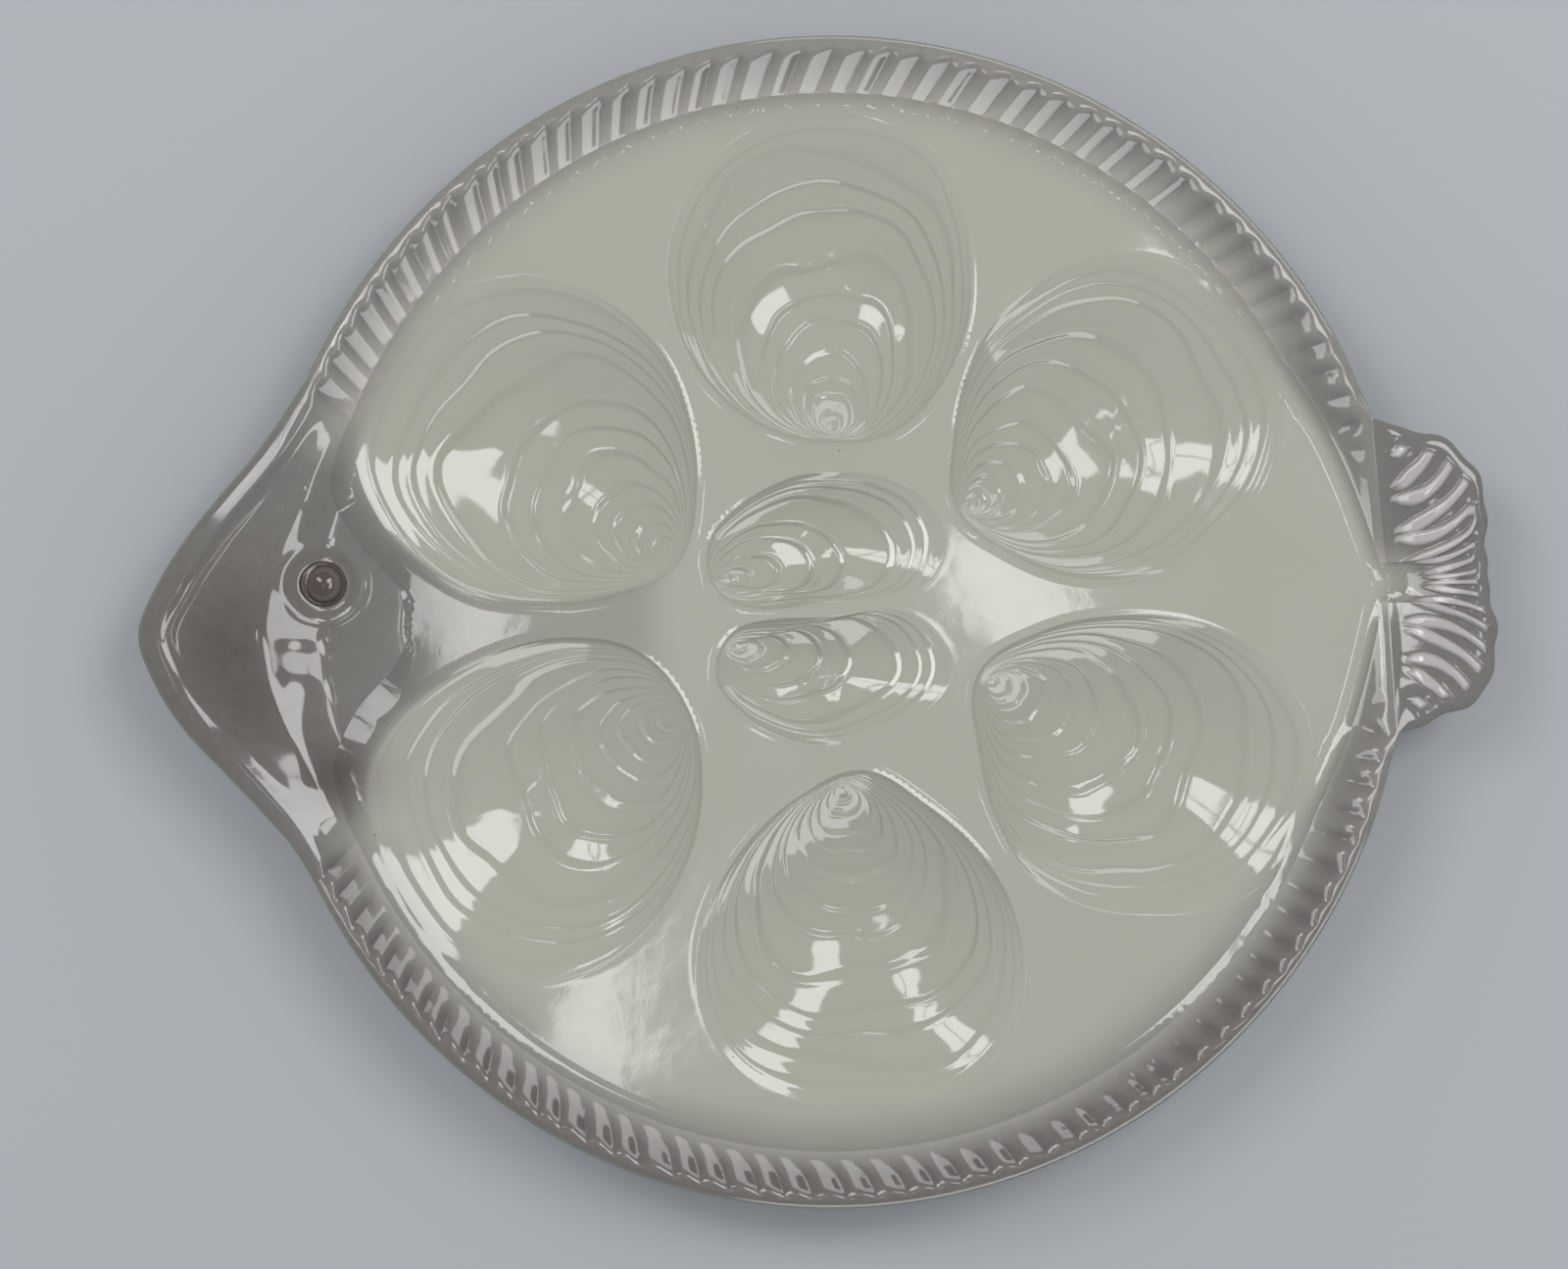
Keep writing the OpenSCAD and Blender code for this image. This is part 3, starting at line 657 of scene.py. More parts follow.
def make_piece(plan, node, slot, points, faces, walls, tint):
    """Puts points (mm, about the body's middle), faces and glaze masks into a new mesh."""
    points, faces, walls, tint = weld(points, faces, walls, tint)
    points = (points + [plan.centre_x, 0, 0]) * MM
    mesh = bpy.data.meshes.new(node + "_glazed")
    mesh.vertices.add(len(points))
    mesh.vertices.foreach_set("co", points.astype(np.float32).ravel())
    mesh.loops.add(faces.size)
    mesh.loops.foreach_set("vertex_index", faces.astype(np.int32).ravel())
    mesh.polygons.add(len(faces))
    mesh.polygons.foreach_set("loop_start", np.arange(0, faces.size, 3, dtype=np.int32))
    mesh.polygons.foreach_set("use_smooth", np.ones(len(faces), bool))
    glaze = mesh.attributes.new("glaze", "FLOAT_COLOR", "POINT")
    glaze.data.foreach_set("color", np.clip(tint, 0, 1).astype(np.float32).ravel())
    mesh.update(calc_edges=True)
    mesh.validate()
    piece = bpy.data.objects.new(node + "_glazed", mesh)
    bpy.context.scene.collection.objects.link(piece)
    mesh.materials.append(slot_material(slot))
    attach(piece, "root")
    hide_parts(node)
    PIECES.append((piece, points, faces, walls))


def tint_of(plan, xy, pool=0.0):
    """The glaze masks of points: taupe, brown, pooled glaze and the outermost edge."""
    taupe, brown, edge = plan.spray(xy)
    return np.stack([taupe, brown, pool * np.ones_like(taupe), edge], -1)


def gather_spray(tint, groove):
    """Lets the taupe spray gather in the grooves between the ribs."""
    tint[..., 0] = np.clip(tint[..., 0] * (1 + GATHER * (groove - 0.4)), 0, 1)


def hollow_piece(plan, hollow):
    """A shell: rings shrunk towards the growth point, s = v^1.5, joined by an upright wall to an
    underside of rings about the middle; height = upper surface + growth lines inside."""
    spokes, rings = hollow.spokes, hollow.rings
    rim = hollow.edge_points()
    s = (np.arange(1, rings + 1) / rings)[:, None] ** 1.5
    xy = hollow.growth + s[..., None] * (rim - hollow.growth)[None]
    radius = np.hypot(*(rim - hollow.growth).T)[None]
    relief, pool = hollow.growth_relief(s, (np.arange(spokes) * 360 / spokes)[None], radius)
    z = plan.height(xy)[0] + relief
    z[-1] = plan.height(rim)[0]
    below = 1 - (np.arange(UNDER_RINGS) / UNDER_RINGS) ** 1.2
    under = hollow.middle + below[:, None, None] * (rim - hollow.middle)[None]
    growth, middle = hollow.growth[None], hollow.middle[None]
    points = np.concatenate([
        lifted(growth, plan.height(growth)[0]),
        lifted(xy, z).reshape(-1, 3),
        lifted(under, plan.underside(under)).reshape(-1, 3),
        lifted(middle, plan.underside(middle)),
    ])
    last_ring = 1 + (rings + UNDER_RINGS - 1) * spokes + np.arange(spokes)
    grid = strip_faces(rings + UNDER_RINGS, spokes, 1, columns_closed=True)
    faces = np.concatenate([
        fan_faces(0, 1 + np.arange(spokes)),
        grid,
        fan_faces(len(points) - 1, last_ring, flip=True),
    ])
    row = (grid.min(1) - 1) // spokes
    walls = np.concatenate([np.zeros(spokes, bool), row == rings - 1, np.zeros(spokes, bool)])
    pools = np.concatenate([[0], (0.8 * pool).ravel(), np.zeros(UNDER_RINGS * spokes + 1)])
    tint = tint_of(plan, points[:, :2], pools)
    tint[1 + rings * spokes:, :2] = 0
    make_piece(plan, hollow.name, "cream_glaze", points, faces, walls, tint)


def rim_columns(plan, turns, gill_rows=0):
    """Closed sections of the rim, from the crease over the crest and roll, and back below.
    The roll is half an ellipse: reach grows by its width times cos, height falls with 1 - sin."""
    slope_rows = detail_count(56)
    crease, outer = plan.crease_reach(turns), plan.outer_reach(turns)
    roll = plan.roll_of(turns, outer - crease)
    gill = plan.gill_reach(turns)
    reaches = [crease - gill * (1 - i / gill_rows) for i in range(gill_rows)]
    reaches += [mix(crease, outer - roll, i / slope_rows) for i in range(slope_rows + 1)]
    drops = [0 * turns] * len(reaches)
    for drawn, dropped in roll_steps(RIM_ROLL_ROWS):
        reaches.append(outer - roll * drawn)
        drops.append(0 * turns + dropped)
    reach, drop = np.array(reaches), np.array(drops)
    xy = polar(reach, plan.lean_turn(turns[None], reach))
    free = plan.free_edge(turns)[None]
    top, groove = plan.height(xy)
    top = top - drop * free * plan.edge / 2
    low = plan.underside(xy) + drop * free * plan.edge / 2
    tint = tint_of(plan, xy)
    gather_spray(tint, groove)
    under_tint = tint.copy()
    under_tint[..., :3] *= (drop ** 0.3)[..., None]
    sections = np.concatenate([lifted(xy, top), lifted(xy, low)[::-1]])
    return sections, np.concatenate([tint, under_tint[::-1]])


def swept_piece(plan, node, slot, sections, tint):
    """A solid through closed sections, with a flat cap at each end."""
    rows, columns = sections.shape[:2]
    index = np.arange(rows * columns).reshape(rows, columns)
    grid = strip_faces(rows, columns, rows_closed=True)
    row = np.concatenate([np.repeat(np.arange(rows), columns - 1)] * 2)
    walls = (row == rows - 1) | (row == rows // 2 - 1)
    ends = [cap_faces(index[:, 0], flip=True), cap_faces(index[:, -1])]
    faces = np.concatenate([grid] + ends)
    walls = np.concatenate([walls, np.ones(sum(map(len, ends)), bool)])
    make_piece(plan, node, slot, sections.reshape(-1, 3), faces, walls, tint.reshape(-1, 4))


def rib_turns(plan, start, end, count):
    """Section angles along a fin, closer together at the grooves: steps of the rib count t are
    taken at t - 0.88 sin(2 pi t) / (2 pi)."""
    fine = np.linspace(start, end, 20001)
    outer = plan.outer_reach(fine)
    phase = plan.rib_phase(fine, outer, outer)
    t = np.linspace(phase[0], phase[-1], count)
    pull = np.sin(2 * np.pi * t) / (2 * np.pi)
    pull = pull - mix(pull[0], pull[-1], np.linspace(0, 1, count))
    turns = np.interp(t - 0.88 * pull, phase, fine)
    turns[0], turns[-1] = start, end
    return turns


def rim_turns(plan):
    """Section angles of the upper fin, the head and the lower fin."""
    near, along = detail_count(96), detail_count(600)
    upper = np.concatenate([
        np.linspace(plan.upper_end_turn, TAIL_UPPER, near, endpoint=False),
        rib_turns(plan, TAIL_UPPER, HEAD_START, along),
    ])
    head = np.linspace(HEAD_START, HEAD_END, detail_count(280))
    lower = np.concatenate([
        rib_turns(plan, HEAD_END, TAIL_LOWER, along)[:-1],
        np.linspace(TAIL_LOWER, plan.lower_end_turn, near),
    ])
    return upper, head, lower


def tail_starts(plan):
    """Where the tail's columns start: on the lower fin's end, round the root, on the upper's."""
    upper, _, lower = rim_turns(plan)
    low_turns = lower[lower >= TAIL_LOWER - 1e-9]
    up_turns = upper[upper <= TAIL_UPPER + 1e-9]
    sweep = np.linspace(plan.lower_side, plan.upper_side, detail_count(130))
    return (polar(plan.outer_reach(low_turns), low_turns),
            plan.root + polar(plan.root_r, sweep),
            polar(plan.outer_reach(up_turns), up_turns))


def tail_rays(plan, phase, v, span):
    """Height share of the rays: each is a rounded ridge, 1 - (q / w)^2 across, thick at its root
    and thin at its tip; neighbours lean together in pairs at the root, and two pairs close at
    the tip."""
    count = plan.tail_rays
    middle = bump(phase / count - 0.5, 0.2)
    width = mix(0.46, 0.25, ease(v * 1.3)) + 0.22 * middle * bump(v - 0.36, 0.22)
    width = width * mix(0.25, 1, ease(v * span / 6.5))
    closing = {count - 6: -0.40, count - 7: 0.40, count - 8: -0.40, count - 9: 0.40}
    ridge = np.zeros_like(v)
    for ray in range(count):
        pair = 1 if ray % 2 == 0 else -1
        root_shift = 0.30 * pair * (1 - ease(v / 0.5))
        tip_shift = closing.get(ray, 0) * ease((v - 0.74) / 0.16)
        q = (phase - ray - 0.5 - root_shift - tip_shift) / width
        body = np.clip(1 - q * q, 0, 1)
        ridge = np.maximum(ridge, ease(body * 1.15) * (0.85 + 0.15 * math.sin(2.4 * ray + 1)))
    inset = (1 - v) * span
    return ridge * ease((inset - 2.6) / 1.2) * ease((v * span - 1.5) / 4.0) * ease((span - 6) / 5)


def tail_piece(plan):
    """Columns run from the root curve to the scalloped edge, each a curve that leaves the root
    nearly level and bends outwards: (1 - v)^2 P + 2 v (1 - v) C + v^2 T; the rays ride on them."""
    low_line, arc, up_line = tail_starts(plan)
    start = np.concatenate([low_line, arc[1:-1], up_line])
    path = np.concatenate([[0], np.cumsum(np.hypot(*np.diff(start, axis=0).T))])
    centre = (path[len(low_line) - 1] + path[len(low_line) + len(arc) - 2]) / 2
    side = (path - centre) / np.where(path < centre, centre, path[-1] - centre)
    u = 0.5 + 0.5 * np.sign(side) * np.abs(side) ** 0.62
    end = plan.tail_outline(u)
    span = np.hypot(*(end - start).T)
    fanned = mix(plan.lower_side, plan.upper_side, u)
    bend = start + 0.60 * span[:, None] * polar(1.0, fanned * 0.04)
    rows = detail_count(90)
    roll = np.minimum(TAIL_ROLL_W, 0.4 * span) / np.maximum(span, 1e-6)
    v = [(1 - roll) * i / rows for i in range(rows + 1)]
    drop = [0 * u] * (rows + 1)
    for drawn, dropped in roll_steps(TAIL_ROLL_ROWS):
        v.append(1 - roll * drawn)
        drop.append(dropped * ease(span / 6))
    v, drop = np.array(v), np.array(drop)
    w = v[..., None]
    xy = (1 - w) ** 2 * start + 2 * w * (1 - w) * bend + w ** 2 * end
    start_z = plan.height(start)[0]
    depth = start_z - plan.underside(start)
    end_z = mix(start_z, plan.top + plan.tail_rise * 1.02, ease(np.minimum(u, 1 - u) / 0.12))
    base = mix(start_z, end_z, np.sin(np.pi / 2 * np.clip(v * 1.08, 0, 1)))
    ridge = tail_rays(plan, u[None] * plan.tail_rays * np.ones_like(v), v, span)
    thick = mix(depth, plan.edge * 0.85, ease(v * 3) * ease(span / 6))
    half = thick / 2
    rays = plan.ray_h * (ridge - 0.15) * ease(span / 8) * (1 - drop) * ease(v * 12)
    top = base + rays - drop * half
    low = np.minimum(base - thick + drop * half, top)
    tint = np.zeros((*v.shape, 4))
    # Pale mask: on the rays' crests partly thinner glaze over the ridges and partly a painted
    # reflection; round the root a painted highlight
    from_root = np.hypot(xy[..., 0] - plan.root[0], xy[..., 1] - plan.root[1])
    pale = np.maximum(ease(ridge * 1.6), bump(from_root, 5.5))
    tint[..., 0] = 0.90 - 0.68 * pale
    tint[..., 2] = pale
    tint[..., 3] = 0.8 * ease(drop * 1.2)
    tint = mix(tint_of(plan, start)[None], tint, ease(v * span / 3)[..., None])
    sections = np.concatenate([lifted(xy, top), lifted(xy, low)[::-1]])
    swept_piece(plan, "tail_fin", "fin_glaze", sections, np.concatenate([tint, 0 * tint[::-1]]))


def field_outline(plan):
    """The field's outer edge: along the rims' creases, the gill cover and the tail's root."""
    upper, head, lower = rim_turns(plan)

    def crease(turns, gill=0):
        reach = plan.crease_reach(turns) - gill
        return polar(reach, plan.lean_turn(turns, reach))

    def fin_end(turn):
        part = rim_columns(plan, np.array([turn]))[0]
        return part[:part.shape[0] // 2, 0, :2]

    return np.concatenate([
        crease(upper)[1:-1],
        crease(head, plan.gill_reach(head))[:-1],
        crease(lower)[:-1],
        fin_end(plan.lower_end_turn)[:-1],
        tail_starts(plan)[1][:-1],
        fin_end(plan.upper_end_turn)[::-1],
    ])


def field_points(plan):
    """Points inside the field: an even grid of triangles, three rows round each hollow, and a fan
    at the tail's root, all clear of the field's edges."""
    pitch = 0.85
    across, up = np.arange(-106, 122, pitch), np.arange(-112, 112, pitch * 0.866)
    gx, gy = np.meshgrid(across, up, indexing="ij")
    gx = gx + np.where(np.arange(len(up)) % 2, pitch / 2, 0)[None]
    rows = [(np.stack([gx.ravel(), gy.ravel()], -1), 3.0)]
    for hollow in plan.hollows:
        spokes = hollow.spokes // 2
        turn = (np.arange(spokes) + 0.5) * 360 / spokes
        for away in (0.6, 1.3, 2.1):
            rows.append((hollow.point(1 + away / hollow.reach_of(turn), turn), away - 0.12))
    found = []
    for points, need in rows:
        x, y = points.T
        near = np.min([hollow.beyond(*hollow.place(x, y)) for hollow in plan.hollows], 0)
        turn = np.degrees(np.arctan2(y, x)) % 360
        edge = plan.crease_reach(turn) - plan.in_head(turn, 0.5) * plan.gill_reach(turn)
        found.append(points[(near > need) & (edge - np.hypot(x, y) > 0.55)])
    fan = polar(np.linspace(0.5, plan.root_r - 0.7, 5)[:, None], np.linspace(-80, 80, 12)[None])
    return found + [plan.root + fan.reshape(-1, 2)]


def field_piece(plan):
    """A flat web between the hollows: a triangulation of its edges and a fine grid of points,
    lifted to the upper surface and, as a second sheet, to the underside."""
    loops = [field_outline(plan)] + [hollow.edge_points() for hollow in plan.hollows]
    points = np.concatenate(loops + field_points(plan))
    rings, first = [], 0
    for loop in loops:
        rings.append(list(range(first, first + len(loop))))
        first += len(loop)
    result = delaunay_2d_cdt([Vector(p) for p in points], [], rings, 1, 1e-5)
    xy = np.array([tuple(v) for v in result[0]])
    on_web = np.array([len(source) == 1 and source[0] == 0 for source in result[5]])
    faces = np.array([face for face, keep in zip(result[2], on_web) if keep])
    area = np.cross(xy[faces[:, 1]] - xy[faces[:, 0]], xy[faces[:, 2]] - xy[faces[:, 0]])
    faces = np.where((area < 0)[:, None], faces[:, ::-1], faces)
    top, groove = plan.height(xy)
    count = len(xy)
    sides = np.concatenate([faces[:, [0, 1]], faces[:, [1, 2]], faces[:, [2, 0]]])
    key = np.sort(sides, 1) @ np.array([count, 1])
    _, where, times = np.unique(key, return_index=True, return_counts=True)
    a, b = sides[where[times == 1]].T
    wall = np.concatenate([
        np.stack([a + count, b + count, b], -1),
        np.stack([a + count, b, a], -1),
    ])
    both = np.concatenate([faces, faces[:, ::-1] + count, wall])
    walls = np.concatenate([np.zeros(2 * len(faces), bool), np.ones(len(wall), bool)])
    cloud = np.concatenate([lifted(xy, top), lifted(xy, plan.underside(xy))])
    tint = tint_of(plan, cloud[:, :2])
    gather_spray(tint[:count], groove)
    tint[count:, :2] = 0
    make_piece(plan, "field", "cream_glaze", cloud, both, walls, tint)


def eye_piece(plan):
    """A dome: height = h sqrt(1 - (q / r)^2) with a foot that flares into the moat."""
    rows, columns = 40, 96
    radius = plan.eye_d / 2
    q = np.sin(np.pi / 2 * np.arange(1, rows + 1) / rows)[:, None]
    flare = np.concatenate([radius * q, [[radius + 0.35], [radius + 0.9]]])
    xy = plan.eye + polar(flare * np.ones(columns), (np.arange(columns) * 360 / columns)[None])
    base = plan.top + plan.gill_h
    dome = base + plan.eye_h * np.sqrt(np.maximum(1 - q ** 2, 0)) * np.ones(columns)
    ground = plan.height(xy)[0]
    z = np.concatenate([
        np.maximum(dome, ground[:rows]),
        ground[rows:rows + 1] + 0.12,
        ground[rows + 1:] - 0.05,
    ])
    z[rows - 1] = np.maximum(z[rows - 1], ground[rows - 1] + 0.45)
    beside = plan.height(plan.eye[None] + [5, 0])[0][0]
    points = np.concatenate([
        [[*plan.eye, base + plan.eye_h]],
        lifted(xy, z).reshape(-1, 3),
        lifted(xy[-1], ground[-1] - 0.8),
        [[*plan.eye, beside - 1.0]],
    ])
    faces = np.concatenate([
        fan_faces(0, 1 + np.arange(columns)),
        strip_faces(rows + 3, columns, 1, columns_closed=True),
        fan_faces(len(points) - 1, 1 + (rows + 2) * columns + np.arange(columns), flip=True),
    ])
    away = np.hypot(points[:, 0] - plan.eye[0], points[:, 1] - plan.eye[1])
    tint = np.stack([np.ones_like(away), 1 - 0.45 * bump(away - 3.1, 0.55), 0 * away, 0 * away], -1)
    make_piece(plan, "eye", "eye_glaze", points, faces, np.zeros(len(faces), bool), tint)


def foot_piece(plan):
    """A ring: flat rounded sole on the table, sides that flare into the body's underside."""
    columns, steps, sole_top = detail_count(480), 14, 0.8
    turn = np.arange(columns) * 360 / columns
    middle, half = plan.foot_d / 2, plan.foot_w / 2
    sole = [(0.55, 0.0), (0.80, 0.10), (0.95, 0.35), (1.0, sole_top)]
    sections, tint = [], []

    def side_row(side, rise):
        xy = polar(np.full(columns, middle + side * (half + 2.6 * rise ** 4)), turn)
        sections.append(lifted(xy, mix(sole_top, plan.underside(xy) + 0.35, rise)))
        tint.append(min(1.0, 0.3 + 3 * rise))

    def sole_row(side, share, z):
        xy = polar(np.full(columns, middle + side * half * share), turn)
        sections.append(lifted(xy, np.full(columns, z)))
        tint.append(0.0 if z < 0.5 else 0.3)

    for i in range(steps + 1):
        side_row(1, 1 - i / steps)
    for share, z in sole[::-1]:
        sole_row(1, share, z)
    for share, z in sole:
        sole_row(-1, share, z)
    for i in range(steps + 1):
        side_row(-1, i / steps)
    faces = strip_faces(len(sections), columns, rows_closed=True, columns_closed=True)
    masks = np.zeros((len(sections) * columns, 4))
    masks[:, 2] = np.repeat(tint, columns)
    points = np.array(sections).reshape(-1, 3)
    make_piece(plan, "foot_ring", "cream_glaze", points, faces, np.zeros(len(faces), bool), masks)


def run_glaze_over_joints():
    """Gives pieces that meet one shared normal on their joint: the sum of their faces' normals."""
    keys, normals, starts = [], [], [0]
    for _, points, faces, walls in PIECES:
        corner = points[faces]
        face = np.cross(corner[:, 1] - corner[:, 0], corner[:, 2] - corner[:, 0])
        face = np.where(walls[:, None], face * 1e-6, face)
        total = np.zeros_like(points)
        for k in range(3):
            for axis in range(3):
                total[:, axis] += np.bincount(faces[:, k], face[:, axis], len(points))
        keys.append(place_keys(points, 2000 / MM))
        normals.append(total)
        starts.append(starts[-1] + len(points))
    _, group = np.unique(np.concatenate(keys), return_inverse=True)
    group = group.reshape(-1)
    stacked = np.concatenate(normals)
    joined = np.stack([np.bincount(group, stacked[:, axis]) for axis in range(3)], -1)[group]
    joined /= np.maximum(np.linalg.norm(joined, axis=1), 1e-20)[:, None]
    for (piece, points, _, _), begin in zip(PIECES, starts):
        own = joined[begin:begin + len(points)].astype(np.float32)
        piece.data.normals_split_custom_set_from_vertices(own)


def glaze_group():
    """Shader group: ground glaze, pooled glaze, taupe and brown spray and edge line, by the masks
    in the piece's glaze attribute, broken up by fine spray; and the ripple of the glaze's
    surface. The taupe mask also holds a painted reflection on the web by the head, and a painted
    highlight that thins it round the tail's root. On the fins the Pool colour is the pale colour of
    the tail's ray crests, partly thinner glaze and partly a painted reflection, and a painted
    highlight round the root."""
    found = bpy.data.node_groups.get("Sprayed glaze")
    if found:
        return found
    group = bpy.data.node_groups.new("Sprayed glaze", "ShaderNodeTree")
    for name, way, kind in (
        ("Ground", "INPUT", "Color"), ("Pool", "INPUT", "Color"), ("Taupe", "INPUT", "Color"),
        ("Brown", "INPUT", "Color"), ("Edge", "INPUT", "Color"),
        ("Colour", "OUTPUT", "Color"), ("Surface", "OUTPUT", "Float"),
        ("Roughness", "OUTPUT", "Float"),
    ):
        group.interface.new_socket(name=name, in_out=way, socket_type="NodeSocket" + kind)
    nodes, links = group.nodes, group.links
    entry, leave = nodes.new("NodeGroupInput").outputs, nodes.new("NodeGroupOutput").inputs
    masks = nodes.new("ShaderNodeAttribute")
    masks.attribute_name = "glaze"
    split = nodes.new("ShaderNodeSeparateColor")
    links.new(masks.outputs["Color"], split.inputs["Color"])
    place = nodes.new("ShaderNodeTexCoord").outputs["Object"]

    def feed(target, value):
        if isinstance(value, (int, float)):
            target.default_value = value
        else:
            links.new(value, target)

    def noise(scale, detail):
        made = nodes.new("ShaderNodeTexNoise")
        feed(made.inputs["Scale"], scale)
        feed(made.inputs["Detail"], detail)
        feed(made.inputs["Vector"], place)
        return made.outputs["Fac"]

    def maths(kind, *values, clamp=False):
        made = nodes.new("ShaderNodeMath")
        made.operation = kind
        made.use_clamp = clamp
        for target, value in zip(made.inputs, values):
            feed(target, value)
        return made.outputs[0]

    def blend(factor, a, b):
        made = nodes.new("ShaderNodeMix")
        made.data_type = "RGBA"
        feed(next(s for s in made.inputs if s.name == "Factor" and s.type == "VALUE"), factor)
        for name, value in (("A", a), ("B", b)):
            feed(next(s for s in made.inputs if s.name == name and s.type == "RGBA"), value)
        return next(s for s in made.outputs if s.type == "RGBA")

    cloud = maths("MULTIPLY_ADD", noise(CLOUDS, 3), 0.5, -0.12, clamp=True)
    grain, spread = noise(GRAIN, 2), noise(SPREAD, 3)
    # Blue mask: pooled glaze; on the fins the pale ray crests, partly thinner glaze and partly
    # painted reflection, and a painted highlight round the tail's root
    pool = maths("MULTIPLY", split.outputs["Blue"], 0.75, clamp=True)
    # Red mask: taupe spray, with a painted reflection on the web by the head and a painted
    # highlight thinning it round the tail's root
    spray = maths("MULTIPLY", split.outputs["Red"], maths("MULTIPLY_ADD", grain, 0.16, 0.92))
    spray = maths("MULTIPLY", spray, maths("MULTIPLY_ADD", spread, 0.12, 0.94), clamp=True)
    brown = maths("MULTIPLY_ADD", spread, 0.3, 0.85)
    brown = maths("MULTIPLY", split.outputs["Green"], brown, clamp=True)
    line = maths("MULTIPLY", masks.outputs["Alpha"], 0.85, clamp=True)
    pits = nodes.new("ShaderNodeTexVoronoi")
    feed(pits.inputs["Scale"], PITS)
    feed(pits.inputs["Vector"], place)
    pit = maths("LESS_THAN", pits.outputs["Distance"], 0.016)
    layers = (
        (cloud, "Pool"), (pool, "Pool"), (spray, "Taupe"), (brown, "Brown"), (line, "Edge"),
        (maths("MULTIPLY", pit, 0.7), "Brown"),
    )
    shade = entry["Ground"]
    for factor, name in layers:
        shade = blend(factor, shade, entry[name])
    surface = maths("ADD", noise(SWELL, 2), maths("MULTIPLY", noise(PEEL, 2), 0.07))
    feed(leave["Colour"], shade)
    feed(leave["Surface"], maths("SUBTRACT", surface, maths("MULTIPLY", pit, 0.5)))
    feed(leave["Roughness"], maths("MULTIPLY_ADD", noise(SHEEN, 2), 0.05, 0.035))
    return group


def slot_material(slot):
    """The glaze of one of the plate's slots: the fins' Pool is the pale colour of the rays' crests,
    partly thinner glaze and partly a painted reflection, with a painted highlight round the tail's
    root; the eye's taupe is a little lighter."""
    found = bpy.data.materials.get("Sprayed " + slot)
    if found:
        return found
    colours = bpy.context.scene.plate_colours
    material = bpy.data.materials.new("Sprayed " + slot)
    material.use_nodes = True
    nodes, links = material.node_tree.nodes, material.node_tree.links
    shader = nodes["Principled BSDF"]
    glaze = nodes.new("ShaderNodeGroup")
    glaze.node_tree = glaze_group()
    shades = {
        "Ground": colours.cream,
        "Pool": colours.ray if slot == "fin_glaze" else colours.pool,
        "Taupe": [c * 1.1 for c in colours.taupe] if slot == "eye_glaze" else colours.taupe,
        "Brown": colours.brown,
        "Edge": colours.edge,
    }
    for name, shade in shades.items():
        glaze.inputs[name].default_value = (*shade, 1)
    swell = nodes.new("ShaderNodeBump")
    swell.inputs["Strength"].default_value = 1.0
    swell.inputs["Distance"].default_value = 0.04 * MM
    links.new(glaze.outputs["Surface"], swell.inputs["Height"])
    links.new(glaze.outputs["Colour"], shader.inputs["Base Color"])
    links.new(glaze.outputs["Roughness"], shader.inputs["Roughness"])
    links.new(swell.outputs["Normal"], shader.inputs["Normal"])
    shader.inputs["IOR"].default_value = 1.53
    return material


def current_plan(context):
    return Plan(context.scene.plate_sizes)


class PlateOperator:
    """Shared by the operators that build the plate."""
    bl_options = {"REGISTER", "UNDO"}


class PLATE_OT_wells(PlateOperator, bpy.types.Operator):
    """Six shell-shaped oyster wells with growth lines"""
    bl_idname = "plate.wells"
    bl_label = "Oyster wells"

    def execute(self, context):
        plan = current_plan(context)
        for hollow in plan.hollows[:len(WELLS)]:
            hollow_piece(plan, hollow)
        return {"FINISHED"}


class PLATE_OT_dips(PlateOperator, bpy.types.Operator):
    """The two dips for sauce at the middle"""
    bl_idname = "plate.dips"
    bl_label = "Centre dips"

    def execute(self, context):
        plan = current_plan(context)
        for hollow in plan.hollows[len(WELLS):]:
            hollow_piece(plan, hollow)
        return {"FINISHED"}


class PLATE_OT_field(PlateOperator, bpy.types.Operator):
    """The web between the hollows, with its ridges"""
    bl_idname = "plate.field"
    bl_label = "Field"

    def execute(self, context):
        field_piece(current_plan(context))
        return {"FINISHED"}


class PLATE_OT_fin_rims(PlateOperator, bpy.types.Operator):
    """The two ribbed fin rims"""
    bl_idname = "plate.fin_rims"
    bl_label = "Fin rims"

    def execute(self, context):
        plan = current_plan(context)
        upper, _, lower = rim_turns(plan)
        for node, turns in (("upper_fin_rim", upper), ("lower_fin_rim", lower)):
            swept_piece(plan, node, "fin_glaze", *rim_columns(plan, turns))
        return {"FINISHED"}


class PLATE_OT_head(PlateOperator, bpy.types.Operator):
    """The snout, rolled lip and gill cover"""
    bl_idname = "plate.head"
    bl_label = "Head"

    def execute(self, context):
        plan = current_plan(context)
        _, turns, _ = rim_turns(plan)
        columns = rim_columns(plan, turns, gill_rows=detail_count(60))
        swept_piece(plan, "head", "head_glaze", *columns)
        return {"FINISHED"}


class PLATE_OT_eye(PlateOperator, bpy.types.Operator):
    """The eye boss in its shallow moat"""
    bl_idname = "plate.eye"
    bl_label = "Eye"

    def execute(self, context):
        eye_piece(current_plan(context))
        return {"FINISHED"}


class PLATE_OT_tail(PlateOperator, bpy.types.Operator):
    """The tail fin with its curved rays"""
    bl_idname = "plate.tail"
    bl_label = "Tail fin"

    def execute(self, context):
        tail_piece(current_plan(context))
        return {"FINISHED"}


class PLATE_OT_foot(PlateOperator, bpy.types.Operator):
    """The foot ring that the plate stands on"""
    bl_idname = "plate.foot"
    bl_label = "Foot ring"

    def execute(self, context):
        foot_piece(current_plan(context))
        return {"FINISHED"}


class PLATE_OT_joints(PlateOperator, bpy.types.Operator):
    """Runs the glaze unbroken over the joints of neighbouring pieces"""
    bl_idname = "plate.joints"
    bl_label = "Run glaze over joints"

    def execute(self, context):
        run_glaze_over_joints()
        return {"FINISHED"}


